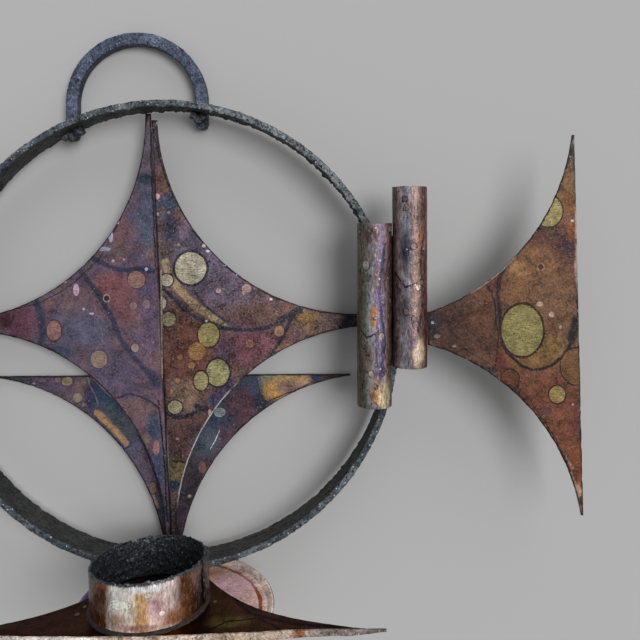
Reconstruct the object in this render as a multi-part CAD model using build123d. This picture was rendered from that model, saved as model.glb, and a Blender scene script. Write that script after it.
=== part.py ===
from build123d import *
import os
from math import cos, radians, sin, sqrt, tan

# Wall candle holder: copper off-cut plates and copper tubes brazed to an iron hoop.
# Frame: X to the right, Y towards the wall, Z up. The wall is the plane Y = 0, and the
# origin is where a nail bears: the top of the inside of the hanger loop.
# Every length is in millimetres and every angle in degrees.

# Stock
sheet = 1.0                      # thickness of the copper sheet
blank_radius = 99.0              # round blanks punched out of the sheet the plates come from
web = 6.0                        # narrowest copper left between two neighbouring blanks
solder_gap = 0.3                 # joint gap that solder or braze fills
pitch = 2 * blank_radius + web   # distance between the centres of neighbouring blanks

# Hanger loop, a square iron bar
hanger_bar = 6.0
hanger_inner_radius = 29.3
hanger_edge_round = 0.8
hanger_left_leg = 18.0           # straight length below the half circle
hanger_right_leg = 12.5
hanger_rise = 30.3               # nail point above the top of the hoop

# Hoop, a flat iron strip bent into a ring
hoop_outer_radius = 112.1
hoop_thickness = 3.2
hoop_depth = 16.0
hoop_x = 16.7                    # the hoop hangs a little to the right of the nail

# Star, two halves that meet in a ridge towards the viewer
star_shift = -3.6                # ridge centre against the hoop centre, to the right
star_left_rise = 7.4             # centre of each half above the hoop centre
star_right_rise = 0.6
star_lean = 2.7                  # the ridge leans to the left at the top
star_fold = 2.5                  # each half slopes back from the ridge by this angle
ridge_gap = 0.6
left_tip_gap = 1.7               # top of each half below the inside of the hoop
right_tip_gap = 4.9
ridge_solder_radius = 1.1
ridge_solder_length = 62.0
ridge_solder_rise = 0.0          # middle of the solder against the left half's centre

# Half star behind the main one, straight edge up
rear_shift = 0.6                 # against the hoop centre, to the right
rear_edge_drop = 23.1            # straight edge below the hoop centre
rear_half_length = 89.3          # its needle tips are worn short
rear_lean = 0.4
rear_tilt = 2.7                  # its top leans back towards the wall

# Tubes, an inner and an outer one on each side of the hoop
tube_radius = 8.0
tube_wall = 1.0
tube_inset = 10.8                # axis of the inner tube inside the middle of the hoop strip
inner_tube_length = 84.0
outer_tube_length = 82.7
inner_tube_top = 53.4            # top ends above the hoop centre
outer_tube_top = 70.1
seam_width = 3.4                 # depth of the solder in the groove between the tubes
seam_setback = 2.0               # solder starts this far behind the tube axes
seam_margin = 6.0                # groove left bare at each end of the overlap

# Tail plates
tail_length = 70.0               # from the outer tube to the straight edge
tail_half_length = 87.8
tail_rise = 6.3                  # middle of the straight edge above the hoop centre
tail_lean = 1.36

# Shelf plate, straight edge to the front, point under the hoop
shelf_shift = 1.1                # against the hoop centre, to the right
shelf_reach = 50.6               # straight edge in front of the hoop's front edge
shelf_half_length = 100.0
shelf_roll = 1.2                 # the right end stands a little higher
strip_height = 3.6
strip_lip = 0.4                  # strip above the top of the plate
strip_end_height = 1.5
strip_taper = 16.0

# Candle cup
cup_radius = 25.0
cup_wall = 1.0
cup_height = 19.6
cup_shift = 0.0                  # against the hoop centre, to the right
cup_rim_rise_front = 3.0         # slope of the cut rim on the shelf, up towards the front
cup_rim_rise_right = 2.3         # and up towards the right
flap_angle = 34.0                # outer end of the rolled strip lies over the wall
flap_start = -14.0
flap_shortness = 2.2             # the flap stops short of the plate
cup_solder_size = 1.3

# Drip dish
dish_radius = 43.5
dish_floor_radius = 40.9
dish_depth = 2.6                 # rim above the floor
dish_shift = 10.8                # against the hoop centre, to the right
dish_back_margin = 0.7           # between the dish's back edge and the wall
dish_drop = 2.5                  # middle of the rim below the underside of the shelf
dish_tilt = 0.5                  # its right side hangs lower
dish_nod = 3.5                   # its front hangs lower
stud_radius = 2.5

# Welds and solder beads
hanger_bead = 4.2
hanger_bead_length = 8.4
hoop_bead = 5.0
hoop_bead_length = 8.0
tip_bead = 3.2
tip_bead_inset = 0.8             # its centre stands off the corner that it fills
foot_bead = 4.4
rear_bead = 3.2
tail_bead = 1.3
bead_turn = 35.0                 # turns a bead's poles away from the flat faces that trim it
shelf_pad_width = 9.0
shelf_pad_margin = 1.0

# Levels and planes that several pieces share
hoop_back = hanger_bar                       # distance from the wall to the hoop's back edge
hoop_front = hoop_back + hoop_depth
hoop_inner_radius = hoop_outer_radius - hoop_thickness
hoop_mid_radius = hoop_outer_radius - hoop_thickness / 2
hoop_z = -hanger_rise - hoop_outer_radius
tube_y = -(hoop_front + solder_gap + tube_radius)
ridge_x = hoop_x + star_shift
tip_y = -(hoop_back - solder_gap - sheet / 2)
ridge_y = tip_y - (hoop_inner_radius - abs(star_shift)) * tan(radians(star_fold))
shelf_front = hoop_front + shelf_reach
cup_y = -(shelf_front - solder_gap - cup_radius)
cup_x = hoop_x + cup_shift
tube_ends = ((inner_tube_top, inner_tube_length), (outer_tube_top, outer_tube_length))


def offcut(blank_offset, reach, low_end, high_end):
    """Half of the four-pointed piece left between four round blanks.

    The straight edge lies on the Y axis and the point looks along X. blank_offset is the
    distance from the straight edge to the centres of the two blanks.
    """
    strip = Pos(reach / 2, (high_end - low_end) / 2) * Rectangle(reach, high_end + low_end)
    blanks = Pos(blank_offset, pitch / 2) * Circle(blank_radius)
    blanks += Pos(blank_offset, -pitch / 2) * Circle(blank_radius)
    return strip - blanks


def along_y(shape, start, length):
    """Extrudes a shape drawn in X and Z towards the viewer, from a distance off the wall."""
    return extrude(Plane.XZ.offset(start) * shape, amount=length)


def hoop_disc(radius, start, length):
    """A solid disc on the hoop's axis."""
    return along_y(Pos(hoop_x, hoop_z) * Circle(radius), start, length)


def hoop_edge_x(height, radius):
    """How far right of the hoop centre a circle on its axis is, at a height above it."""
    return sqrt(radius ** 2 - height ** 2)


def largest(shape):
    """The largest separate solid of a shape that was cut into several."""
    return shape.solids().sort_by(SortBy.VOLUME)[-1]


def bead_at(x, y, z, radius):
    """A round bead of weld or solder, before the pieces that it joins are cut from it."""
    return Pos(x, y, z) * Rotation(bead_turn, bead_turn, 0) * Sphere(radius)


def make_hoop():
    return hoop_disc(hoop_outer_radius, hoop_back, hoop_depth) - hoop_disc(
        hoop_inner_radius, hoop_back, hoop_depth
    )


def hanger_leg(side, length):
    """One straight leg of the hanger with its rounded end, drawn in X and Z."""
    x = side * (hanger_inner_radius + hanger_bar / 2)
    top = -hanger_inner_radius
    leg = Pos(x, top - length / 2) * Rectangle(hanger_bar, length)
    return leg + Pos(x, top - length) * Circle(hanger_bar / 2)


def make_hanger():
    outer_radius = hanger_inner_radius + hanger_bar
    bend = Pos(0, -hanger_inner_radius) * (Circle(outer_radius) - Circle(hanger_inner_radius))
    lower_half = Pos(0, -hanger_inner_radius - outer_radius) * Rectangle(
        2 * outer_radius, 2 * outer_radius
    )
    outline = bend - lower_half + hanger_leg(-1, hanger_left_leg) + hanger_leg(1, hanger_right_leg)
    bar = along_y(outline, 0, hanger_bar)
    return fillet(bar.faces().filter_by(Axis.Y).edges(), hanger_edge_round)


def hanger_weld(side):
    """A run of weld in the corner between a hanger leg and the inside of the hoop."""
    x = side * (hanger_inner_radius + hanger_bar / 2)
    inside = hoop_z + sqrt(hoop_inner_radius ** 2 - (x - hoop_x) ** 2)
    run = Pos(x, -hoop_back, inside) * Rotation(0, 90, 0) * Cylinder(
        hanger_bead, hanger_bead_length
    )
    return run & hoop_disc(hoop_inner_radius, hoop_back, hoop_depth)


def star_half(side, rise, tip_gap):
    """One half of the star. side is -1 for the left half and 1 for the right one."""
    turn, fold = radians(star_lean), radians(star_fold)
    up = Vector(-sin(turn), 0, cos(turn))
    outwards = Vector(side * cos(turn) * cos(fold), sin(fold), side * sin(turn) * cos(fold))
    middle = Vector(ridge_x, ridge_y, hoop_z + rise) + outwards * (ridge_gap / 2)
    place = Plane(origin=middle, x_dir=outwards, z_dir=outwards.cross(up))
    reach = hoop_outer_radius + abs(star_shift)
    whole = offcut(pitch / 2 - ridge_gap / 2, reach, reach, reach)
    plate = extrude(place * whole, amount=sheet / 2, both=True)
    plate &= hoop_disc(hoop_outer_radius, 0, hoop_front)
    plate -= hoop_disc(hoop_outer_radius + solder_gap, hoop_back - solder_gap, hoop_front) - hoop_disc(
        hoop_inner_radius - solder_gap, 0, 2 * hoop_front
    )
    top_cut = hoop_z + hoop_inner_radius - tip_gap
    above = Pos(ridge_x, 0, top_cut) * Box(
        hoop_outer_radius,
        2 * hoop_front,
        hoop_outer_radius,
        align=(Align.CENTER, Align.CENTER, Align.MIN),
    )
    return plate - above


def ridge_point(along):
    """A point of the ridge line, at a distance up it from the left half's centre."""
    turn = radians(star_lean)
    return Vector(
        ridge_x - along * sin(turn), ridge_y, hoop_z + star_left_rise + along * cos(turn)
    )


def make_ridge_solder(plates):
    start = ridge_point(ridge_solder_rise - ridge_solder_length / 2)
    end = ridge_point(ridge_solder_rise + ridge_solder_length / 2)
    place = Plane(origin=start, z_dir=end - start)
    rod = extrude(place * Circle(ridge_solder_radius), amount=ridge_solder_length)
    return rod - plates[0] - plates[1]


def star_tip_solder(side, rise, hoop, plate):
    """Solder in the corner between a side tip of the star and the inside of the hoop."""
    height = rise + side * hoop_inner_radius * sin(radians(star_lean))
    x = hoop_x + side * (hoop_edge_x(height, hoop_inner_radius) - tip_bead_inset)
    y = -(hoop_back + tip_bead_inset)
    return largest(bead_at(x, y, hoop_z + height, tip_bead) - hoop - plate)


def make_foot_solder(hoop, plates, rear_plate):
    """Solder that holds the lower tips of the star to the inside of the hoop."""
    x = ridge_x + hoop_inner_radius * sin(radians(star_lean))
    z = hoop_z - hoop_edge_x(x - hoop_x, hoop_inner_radius)
    bead = bead_at(x, ridge_y, z, foot_bead)
    return largest(bead - hoop - plates[0] - plates[1] - rear_plate)


def make_rear_plate():
    """The half star behind: its straight edge is level and its point is on the hoop's back."""
    turn, tilt = radians(rear_lean), radians(rear_tilt)
    foot = hoop_outer_radius - rear_edge_drop
    edge_y = -(hoop_back - solder_gap) + sheet / 2 + foot * tan(tilt)
    across = Vector(cos(turn), 0, sin(turn))
    down = Vector(sin(turn) * cos(tilt), -sin(tilt), -cos(turn) * cos(tilt))
    place = Plane(
        origin=(hoop_x + rear_shift, edge_y, hoop_z - rear_edge_drop),
        x_dir=down,
        z_dir=down.cross(across),
    )
    outline = offcut(blank_radius, foot / cos(tilt), rear_half_length, rear_half_length)
    return extrude(place * outline, amount=sheet / 2, both=True)


def make_rear_solder(hoop, rear_plate, shelf, pad, foot):
    """Solder behind the bottom of the hoop, where the rear half star and the shelf meet it."""
    bead = bead_at(hoop_x + rear_shift, -hoop_back, hoop_z - hoop_mid_radius, rear_bead)
    return largest(bead - hoop - rear_plate - shelf - pad - foot)


def tube_x(place):
    """Distance of a tube's axis from the hoop centre. place is 0 for the inner tube, 1 outer."""
    return hoop_mid_radius - tube_inset + place * (2 * tube_radius + solder_gap)


def tube_rod(side, place, radius):
    """A solid rod on a tube's axis, as long as the tube."""
    top, length = tube_ends[place]
    return Pos(hoop_x + side * tube_x(place), tube_y, hoop_z + top) * Cylinder(
        radius, length, align=(Align.CENTER, Align.CENTER, Align.MAX)
    )


def make_tube(side, place):
    return tube_rod(side, place, tube_radius) - tube_rod(side, place, tube_radius - tube_wall)


def make_tube_seam(side, rods):
    """Solder in the groove behind the two tubes, over the height that they share."""
    top = min(inner_tube_top, outer_tube_top) - seam_margin
    bottom = max(inner_tube_top - inner_tube_length, outer_tube_top - outer_tube_length)
    bottom += seam_margin
    x = hoop_x + side * (tube_x(0) + tube_x(1)) / 2
    block = Pos(x, tube_y + seam_setback, hoop_z + bottom) * Box(
        2 * tube_radius,
        seam_width,
        top - bottom,
        align=(Align.CENTER, Align.MIN, Align.MIN),
    )
    return block - rods[0] - rods[1]


def make_hoop_braze(side, hoop, rods, seam):
    """Three beads that hold the tubes to the front edge of the hoop."""
    top = inner_tube_top - seam_margin
    bottom = inner_tube_top - inner_tube_length + seam_margin
    beads = []
    for height in (top, (top + bottom) / 2, bottom):
        x = hoop_x + side * hoop_edge_x(height, hoop_mid_radius)
        bead = Pos(x, -hoop_front, hoop_z + height) * Cylinder(hoop_bead, hoop_bead_length)
        beads.append(largest(bead - hoop - rods[0] - rods[1] - seam))
    return Compound(beads)


def make_tail(side):
    """The tail plate, straight edge outwards. Both tails lean like the ridge does."""
    turn = radians(tail_lean)
    edge_x = hoop_x + side * (tube_x(1) + tube_radius + tail_length)
    inwards = Vector(-side * cos(turn), 0, -side * sin(turn))
    up = Vector(-sin(turn), 0, cos(turn))
    place = Plane(
        origin=(edge_x, tube_y, hoop_z + tail_rise), x_dir=inwards, z_dir=inwards.cross(up)
    )
    outline = offcut(blank_radius, tail_length + tube_radius, tail_half_length, tail_half_length)
    plate = extrude(place * outline, amount=sheet / 2, both=True)
    return plate - tube_rod(side, 1, tube_radius + solder_gap)


def make_tail_solder(side, tail, outer_rod):
    """A seam along the joint of the tail plate and the outer tube, as tall as the plate there."""
    x = hoop_x + side * (tube_x(1) + tube_radius)
    from_center = blank_radius - tail_length
    half_height = pitch / 2 - sqrt(blank_radius ** 2 - from_center ** 2) - tail_bead
    seam = Pos(x, tube_y, hoop_z + tail_rise) * Cylinder(tail_bead, 2 * half_height)
    return seam - outer_rod - tail


def shelf_frame():
    """Plane of the shelf's top: X to the right, Y to the wall, below the bottom of the hoop."""
    roll = radians(shelf_roll)
    normal = Vector(-sin(roll), 0, cos(roll))
    under = Vector(hoop_x, 0, hoop_z) - normal * (hoop_outer_radius + solder_gap)
    return Plane(origin=under, x_dir=(cos(roll), 0, sin(roll)), z_dir=normal)


def make_shelf():
    frame = shelf_frame()
    outline = offcut(blank_radius, shelf_front - hoop_back, shelf_half_length, shelf_half_length)
    flat = Pos(shelf_shift, -shelf_front) * Rotation(0, 0, 90) * outline
    return extrude(frame * flat, amount=-sheet)


def make_strip():
    """The narrow band on edge along the shelf's straight edge, drawn in X and Z."""
    length = 2 * shelf_half_length
    points = [
        (-length / 2, strip_lip),
        (length / 2, strip_lip),
        (length / 2, strip_lip - strip_end_height),
        (length / 2 - strip_taper, strip_lip - strip_height),
        (-length / 2 + strip_taper, strip_lip - strip_height),
        (-length / 2, strip_lip - strip_end_height),
    ]
    outline = make_face(Polyline(*points, close=True))
    frame = shelf_frame()
    upright = Plane(
        origin=frame.from_local_coords((shelf_shift, -shelf_front, 0)),
        x_dir=frame.x_dir,
        z_dir=-frame.y_dir,
    )
    return extrude(upright * outline, amount=sheet)


def make_shelf_pad(hoop, shelf):
    """Braze between the bottom of the hoop and the top of the shelf."""
    frame = shelf_frame()
    block = frame * Pos(0, -(hoop_back + hoop_front) / 2, 0) * Box(
        shelf_pad_width,
        hoop_depth - 2 * shelf_pad_margin,
        hoop_thickness,
        align=(Align.CENTER, Align.CENTER, Align.MIN),
    )
    under_hoop = block - hoop_disc(hoop_outer_radius, 0, 2 * hoop_front) - shelf
    return under_hoop.solids().sort_by(Axis.Z)[0]


def shelf_top(x):
    """Height of the shelf's top at a distance right of the nail."""
    frame = shelf_frame()
    return frame.origin.Z + (x - frame.origin.X) * tan(radians(shelf_roll))


def cup_place():
    """Frame of the cup: origin in the middle of its foot, axis square to the shelf."""
    frame = shelf_frame()
    foot = (cup_x, cup_y, shelf_top(cup_x))
    return Plane(origin=foot, x_dir=frame.x_dir, z_dir=frame.z_dir)


def cup_rod(radius, bottom=0):
    """A solid cylinder on the cup's axis, up from a height above the shelf and past the rim."""
    return Pos(0, 0, bottom) * Cylinder(
        radius, 2 * cup_height, align=(Align.CENTER, Align.CENTER, Align.MIN)
    )


def below_rim():
    """The space under the sloping plane of the cup's rim, in the cup's frame."""
    slope = (-sin(radians(cup_rim_rise_right)), sin(radians(cup_rim_rise_front)), 1)
    return Plane(origin=(0, 0, cup_height), z_dir=slope) * Box(
        4 * cup_radius,
        4 * cup_radius,
        2 * cup_height,
        align=(Align.CENTER, Align.CENTER, Align.MAX),
    )


def flap_sector():
    """The wedge, seen from the cup's axis, that the flap takes up."""
    span = 2 * cup_radius
    points = [(0, 0)]
    for angle in (flap_start, flap_start + flap_angle):
        points.append((span * cos(radians(angle)), span * sin(radians(angle))))
    return extrude(make_face(Polyline(*points, close=True)), amount=2 * cup_height)


def make_cup():
    wall = cup_rod(cup_radius) - cup_rod(cup_radius - cup_wall)
    flap = cup_rod(cup_radius + cup_wall, flap_shortness) - cup_rod(cup_radius, flap_shortness)
    return cup_place() * ((wall + (flap & flap_sector())) & below_rim())


def make_cup_solder(hoop):
    """A fillet of solder round the foot of the cup, cut off at the shelf's front edge."""
    size = cup_solder_size
    fillet_ring = Cone(
        cup_radius + size, cup_radius, size, align=(Align.CENTER, Align.CENTER, Align.MIN)
    ) - cup_rod(cup_radius)
    behind_edge = shelf_frame() * Pos(0, -shelf_front, 0) * Box(
        4 * shelf_half_length,
        4 * shelf_front,
        4 * cup_height,
        align=(Align.CENTER, Align.MIN, Align.CENTER),
    )
    return (cup_place() * fillet_ring & behind_edge) - hoop


def dish_place():
    """Frame of the drip dish: origin in the middle of its rim, right side lower."""
    x, y = hoop_x + dish_shift, -(dish_back_margin + dish_radius)
    middle = Vector(x, y, shelf_top(x) - sheet - dish_drop)
    turn, nod = radians(dish_tilt), radians(dish_nod)
    across = Vector(cos(turn), 0, -sin(turn))
    back = Vector(0, cos(nod), sin(nod))
    return Plane(origin=middle, x_dir=across, z_dir=across.cross(back))


def make_dish():
    half = Polyline(
        (0, -dish_depth),
        (dish_floor_radius, -dish_depth),
        (dish_radius, 0),
        (dish_radius - sheet, 0),
        (dish_floor_radius - sheet / 2, -dish_depth + sheet),
        (0, -dish_depth + sheet),
        close=True,
    )
    section = Plane.XZ * make_face(half)
    return dish_place() * revolve(section, Axis.Z)


def make_stud():
    """The short post that carries the dish, between its floor and the shelf."""
    x, y = hoop_x + shelf_shift, dish_place().origin.Y
    reach = 2 * (dish_drop + dish_depth)
    post = Pos(x, y, shelf_top(x)) * Cylinder(stud_radius, 2 * reach)
    above_floor = dish_place() * Pos(0, 0, sheet - dish_depth) * Box(
        2 * dish_radius,
        2 * dish_radius,
        2 * reach,
        align=(Align.CENTER, Align.CENTER, Align.MIN),
    )
    below_shelf = shelf_frame() * Pos(0, y, -sheet) * Box(
        2 * dish_radius,
        2 * dish_radius,
        2 * reach,
        align=(Align.CENTER, Align.CENTER, Align.MAX),
    )
    return post & above_floor & below_shelf


def side_parts(side, hoop):
    """The nodes of one side, without the side's name. side is -1 for the left, 1 for the right."""
    rods = (tube_rod(side, 0, tube_radius), tube_rod(side, 1, tube_radius))
    seam = make_tube_seam(side, rods)
    tail = make_tail(side)
    return {
        "inner_tube": make_tube(side, 0),
        "outer_tube": make_tube(side, 1),
        "tube_seam_solder": seam,
        "tube_hoop_braze": make_hoop_braze(side, hoop, rods, seam),
        "tail_plate": tail,
        "tail_solder": make_tail_solder(side, tail, rods[1]),
    }


def build_parts():
    """Every node of the part, by name."""
    hoop = make_hoop()
    hanger = make_hanger()
    left_half = star_half(-1, star_left_rise, left_tip_gap)
    right_half = star_half(1, star_right_rise, right_tip_gap)
    halves = (left_half, right_half)
    rear = make_rear_plate()
    shelf = make_shelf()
    pad = make_shelf_pad(hoop, shelf)
    foot = make_foot_solder(hoop, halves, rear)
    parts = {
        "hoop": hoop,
        "hanger_loop": hanger,
        "hanger_weld_left": hanger_weld(-1),
        "hanger_weld_right": hanger_weld(1),
        "star_plate_left": left_half,
        "star_plate_right": right_half,
        "star_ridge_solder": make_ridge_solder(halves),
        "star_tip_solder_left": star_tip_solder(-1, star_left_rise, hoop, left_half),
        "star_tip_solder_right": star_tip_solder(1, star_right_rise, hoop, right_half),
        "star_foot_solder": foot,
        "rear_half_star": rear,
        "rear_star_solder": make_rear_solder(hoop, rear, shelf, pad, foot),
        "shelf_plate": shelf,
        "shelf_edge_strip": make_strip(),
        "shelf_braze": pad,
        "candle_cup": make_cup(),
        "cup_solder": make_cup_solder(hoop),
        "drip_dish": make_dish(),
        "dish_stud": make_stud(),
    }
    for side, name in ((-1, "left"), (1, "right")):
        for piece, shape in side_parts(side, hoop).items():
            parts[piece + "_" + name] = shape
    return parts


os.makedirs("parts", exist_ok=True)
for node, shape in build_parts().items():
    export_step(shape, "parts/" + node + ".step")
    print(node, round(shape.volume))
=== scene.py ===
import bpy
import bmesh
from math import atan2, pi, radians, sin
from mathutils import Matrix, Vector, noise
from mathutils.kdtree import KDTree


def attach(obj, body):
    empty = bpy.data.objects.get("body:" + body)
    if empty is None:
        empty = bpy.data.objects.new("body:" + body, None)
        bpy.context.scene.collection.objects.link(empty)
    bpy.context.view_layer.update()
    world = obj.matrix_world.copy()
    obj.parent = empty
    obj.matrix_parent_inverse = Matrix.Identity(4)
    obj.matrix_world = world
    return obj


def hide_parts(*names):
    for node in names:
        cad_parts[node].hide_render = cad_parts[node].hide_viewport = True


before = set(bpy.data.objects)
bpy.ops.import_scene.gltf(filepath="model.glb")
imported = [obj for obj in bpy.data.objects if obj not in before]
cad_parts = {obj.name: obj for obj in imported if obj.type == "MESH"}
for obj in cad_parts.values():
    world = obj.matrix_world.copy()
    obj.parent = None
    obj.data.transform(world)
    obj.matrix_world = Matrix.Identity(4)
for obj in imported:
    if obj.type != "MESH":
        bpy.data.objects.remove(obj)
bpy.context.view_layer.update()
mm = 0.001

# Places are in millimetres, as in the solids: X right, Y to the wall, Z up, nail at the origin.
# Tones are 8-bit screen colours.

# camera, square to the wall
camera = {"place": (91.27, -349.06, -89.89), "lens": 38.81, "sensor": 36, "shiftY": -95 / 640, "near": 10}


def placeCamera(settings):
    lens = bpy.data.cameras.new("camera")
    lens.lens = settings["lens"]
    lens.sensor_width = settings["sensor"]
    lens.shift_y = settings["shiftY"]
    lens.clip_start = settings["near"] * mm
    eye = bpy.data.objects.new("camera", lens)
    eye.location = Vector(settings["place"]) * mm
    eye.rotation_euler = (radians(90), 0, 0)
    bpy.context.scene.collection.objects.link(eye)
    bpy.context.scene.camera = eye


placeCamera(camera)
bpy.context.scene.view_settings.view_transform = "Standard"
print("camera placed")


# node helpers
def tone(colour):
    # 8-bit screen colour to the light values that the sockets take; the two terms are the sRGB curve
    return tuple(c / 3294.6 if c <= 10 else ((c / 255 + 0.055) / 1.055) ** 2.4 for c in colour) + (1,)


def join(tree, socket, source):
    if isinstance(source, bpy.types.NodeSocket):
        tree.links.new(source, socket)
    else:
        socket.default_value = source


def add(tree, kind, plugs=None, **settings):
    step = tree.nodes.new(kind)
    for name, value in settings.items():
        setattr(step, name, value)
    for socket, source in (plugs or {}).items():
        join(tree, step.inputs[socket], source)
    return step


def sums(tree, how, first, second=None, third=None):
    # one step of arithmetic; each input is a number or a socket
    plugs = {i: s for i, s in enumerate((first, second, third)) if s is not None}
    return add(tree, "ShaderNodeMath", plugs, operation=how).outputs[0]


def vectors(tree, how, first, second=None, third=None, out=0):
    plugs = {i: s for i, s in enumerate((first, second, third)) if s is not None}
    return add(tree, "ShaderNodeVectorMath", plugs, operation=how).outputs[out]


def scaled(tree, vector, by):
    return add(tree, "ShaderNodeVectorMath", {0: vector, "Scale": by}, operation="SCALE").outputs[0]


def fade(tree, value, low, high, start=0.0, end=1.0):
    # a soft step from start at low to end at high
    return add(tree, "ShaderNodeMapRange", {0: value, 1: low, 2: high, 3: start, 4: end},
               interpolation_type="SMOOTHSTEP").outputs[0]


def mixed(tree, share, first, second, how="MIX"):
    return add(tree, "ShaderNodeMix", {0: share, 6: first, 7: second}, data_type="RGBA",
               blend_type=how).outputs[2]


def cloud(tree, place, scale, detail=3.0, rough=0.6, out=0):
    return add(tree, "ShaderNodeTexNoise", {"Vector": place, "Scale": scale, "Detail": detail,
                                            "Roughness": rough}).outputs[out]


def drift(tree, place, scale, detail):
    # a soft random vector round zero
    return vectors(tree, "SUBTRACT", cloud(tree, place, scale, detail, out="Color"), (0.5, 0.5, 0.5))


def millimetres(tree):
    # place in the object's own frame
    return scaled(tree, add(tree, "ShaderNodeTexCoord").outputs["Object"], 1 / mm)


def newGroup(name, inputs, outputs):
    # inputs and outputs read "Label Kind, Label Kind"; a kind is Color, Vector or Float
    group = bpy.data.node_groups.new(name, "ShaderNodeTree")
    for row, side in ((inputs, "INPUT"), (outputs, "OUTPUT")):
        for label, kind in (pair.split() for pair in row.split(", ")):
            group.interface.new_socket(name=label, in_out=side, socket_type="NodeSocket" + kind)
    return group, group.nodes.new("NodeGroupInput").outputs, group.nodes.new("NodeGroupOutput").inputs


def use(tree, group, **plugs):
    step = tree.nodes.new("ShaderNodeGroup")
    step.node_tree = group
    for socket, source in plugs.items():
        join(tree, step.inputs[socket], source)
    return step.outputs


# place on a flat plate in millimetres, with a wavering copy for the lines and areas
def makePlatePlace():
    tree, into, out = newGroup("platePlace", "Flatten Vector, Turn Vector, Shift Vector, Waver Float",
                               "Place Vector, Near Vector, Free Vector")
    free = millimetres(tree)
    turned = vectors(tree, "MULTIPLY_ADD", free, into["Turn"], into["Shift"])
    flat = vectors(tree, "MULTIPLY", turned, into["Flatten"])
    # waves of about 6 mm, and of 1 mm at two fifths of their height
    both = vectors(tree, "MULTIPLY_ADD", drift(tree, flat, 0.16, 2), (2.6, 2.6, 2.6), drift(tree, flat, 0.9, 2))
    wave = scaled(tree, vectors(tree, "MULTIPLY", both, into["Flatten"]), into["Waver"])
    join(tree, out["Place"], vectors(tree, "ADD", flat, wave))
    join(tree, out["Near"], vectors(tree, "ADD", flat, scaled(tree, wave, 0.3)))
    join(tree, out["Free"], free)
    return tree


# place on a tube or ring, unrolled: X is the way round from the front, in millimetres
def makeRolledPlace():
    tree, into, out = newGroup("rolledPlace", "Centre Vector, Radius Float, Waver Float",
                               "Place Vector, Near Vector, Turn Float, Free Vector")
    free = millimetres(tree)
    x, y, z = add(tree, "ShaderNodeSeparateXYZ", {0: vectors(tree, "SUBTRACT", free, into["Centre"])}).outputs
    angle = sums(tree, "ARCTAN2", x, sums(tree, "MULTIPLY", y, -1.0))
    flat = add(tree, "ShaderNodeCombineXYZ", {0: sums(tree, "MULTIPLY", angle, into["Radius"]),
                                              2: z}).outputs[0]
    wave = scaled(tree, vectors(tree, "MULTIPLY", drift(tree, free, 0.5, 3), (2, 0, 2)), into["Waver"])
    moved = vectors(tree, "ADD", flat, wave)
    across = sums(tree, "DIVIDE", add(tree, "ShaderNodeSeparateXYZ", {0: moved}).outputs[0], into["Radius"])
    join(tree, out["Place"], moved)
    join(tree, out["Near"], vectors(tree, "MULTIPLY_ADD", wave, (0.3, 0.3, 0.3), flat))
    join(tree, out["Turn"], sums(tree, "MULTIPLY_ADD", across, 0.5 / pi, 0.5))
    join(tree, out["Free"], free)
    return tree


# a soft coloured area
def makeSoftArea():
    tree, into, out = newGroup("softArea", "Colour Color, Place Vector, Centre Vector, Reach Vector, "
                                           "Full Float, Bare Float, Tone Color", "Colour Color")
    off = vectors(tree, "DIVIDE", vectors(tree, "SUBTRACT", into["Place"], into["Centre"]), into["Reach"])
    share = fade(tree, vectors(tree, "LENGTH", off, out=1), into["Full"], into["Bare"], 1.0, 0.0)
    join(tree, out["Colour"], mixed(tree, share, into["Colour"], into["Tone"]))
    return tree


# distance from a straight line; Unit is the line's vector divided by its length squared
def makeLineAway():
    tree, into, out = newGroup("lineAway", "Place Vector, Start Vector, Line Vector, Unit Vector", "Away Float")
    here = vectors(tree, "SUBTRACT", into["Place"], into["Start"])
    share = vectors(tree, "DOT_PRODUCT", here, into["Unit"], out=1)
    share = sums(tree, "MINIMUM", sums(tree, "MAXIMUM", share, 0.0), 1.0)    # a clamp, cheaper on the stack
    join(tree, out["Away"], vectors(tree, "DISTANCE", here, scaled(tree, into["Line"], share), out=1))
    return tree


# a vein of colour along a line
def makeVein():
    tree, into, out = newGroup("vein", "Colour Color, Away Float, Full Float, Bare Float, Tone Color",
                               "Colour Color")
    share = fade(tree, into["Away"], into["Full"], into["Bare"], 1.0, 0.0)
    join(tree, out["Colour"], mixed(tree, share, into["Colour"], into["Tone"]))
    return tree


# a bare spot with a dark rim, blotches and brush marks
def makeSpot():
    tree, into, out = newGroup(
        "bareSpot", "Colour Color, Shine Float, Near Vector, Centre Vector, Reach Vector, Size Float, "
                    "Rim Float, Tone Color, RimTone Color, Marks Float, Blotch Float",
        "Colour Color, Shine Float")
    off = vectors(tree, "DIVIDE", vectors(tree, "SUBTRACT", into["Near"], into["Centre"]), into["Reach"])
    away = sums(tree, "MULTIPLY", sums(tree, "SUBTRACT", vectors(tree, "LENGTH", off, out=1), 1.0),
                into["Size"])
    inside = fade(tree, away, -0.14, 0.14, 1.0, 0.0)    # millimetres inside and outside the outline
    half = sums(tree, "MULTIPLY", into["Rim"], 0.5)
    rimAway = sums(tree, "ABSOLUTE", sums(tree, "SUBTRACT", away, half))
    rim = fade(tree, sums(tree, "SUBTRACT", rimAway, half), -0.12, 0.22, 1.0, 0.0)
    darker = mixed(tree, 1.0, into["Tone"], (0.62, 0.5, 0.36, 1), "MULTIPLY")
    blotched = mixed(tree, into["Blotch"], into["Tone"], darker)
    marked = mixed(tree, into["Marks"], blotched, mixed(tree, 1.0, blotched, (0.4, 0.38, 0.34, 1), "MULTIPLY"))
    join(tree, out["Colour"], mixed(tree, inside, mixed(tree, rim, into["Colour"], into["RimTone"]), marked))
    join(tree, out["Shine"], sums(tree, "MAXIMUM", into["Shine"], inside))
    return tree


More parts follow.
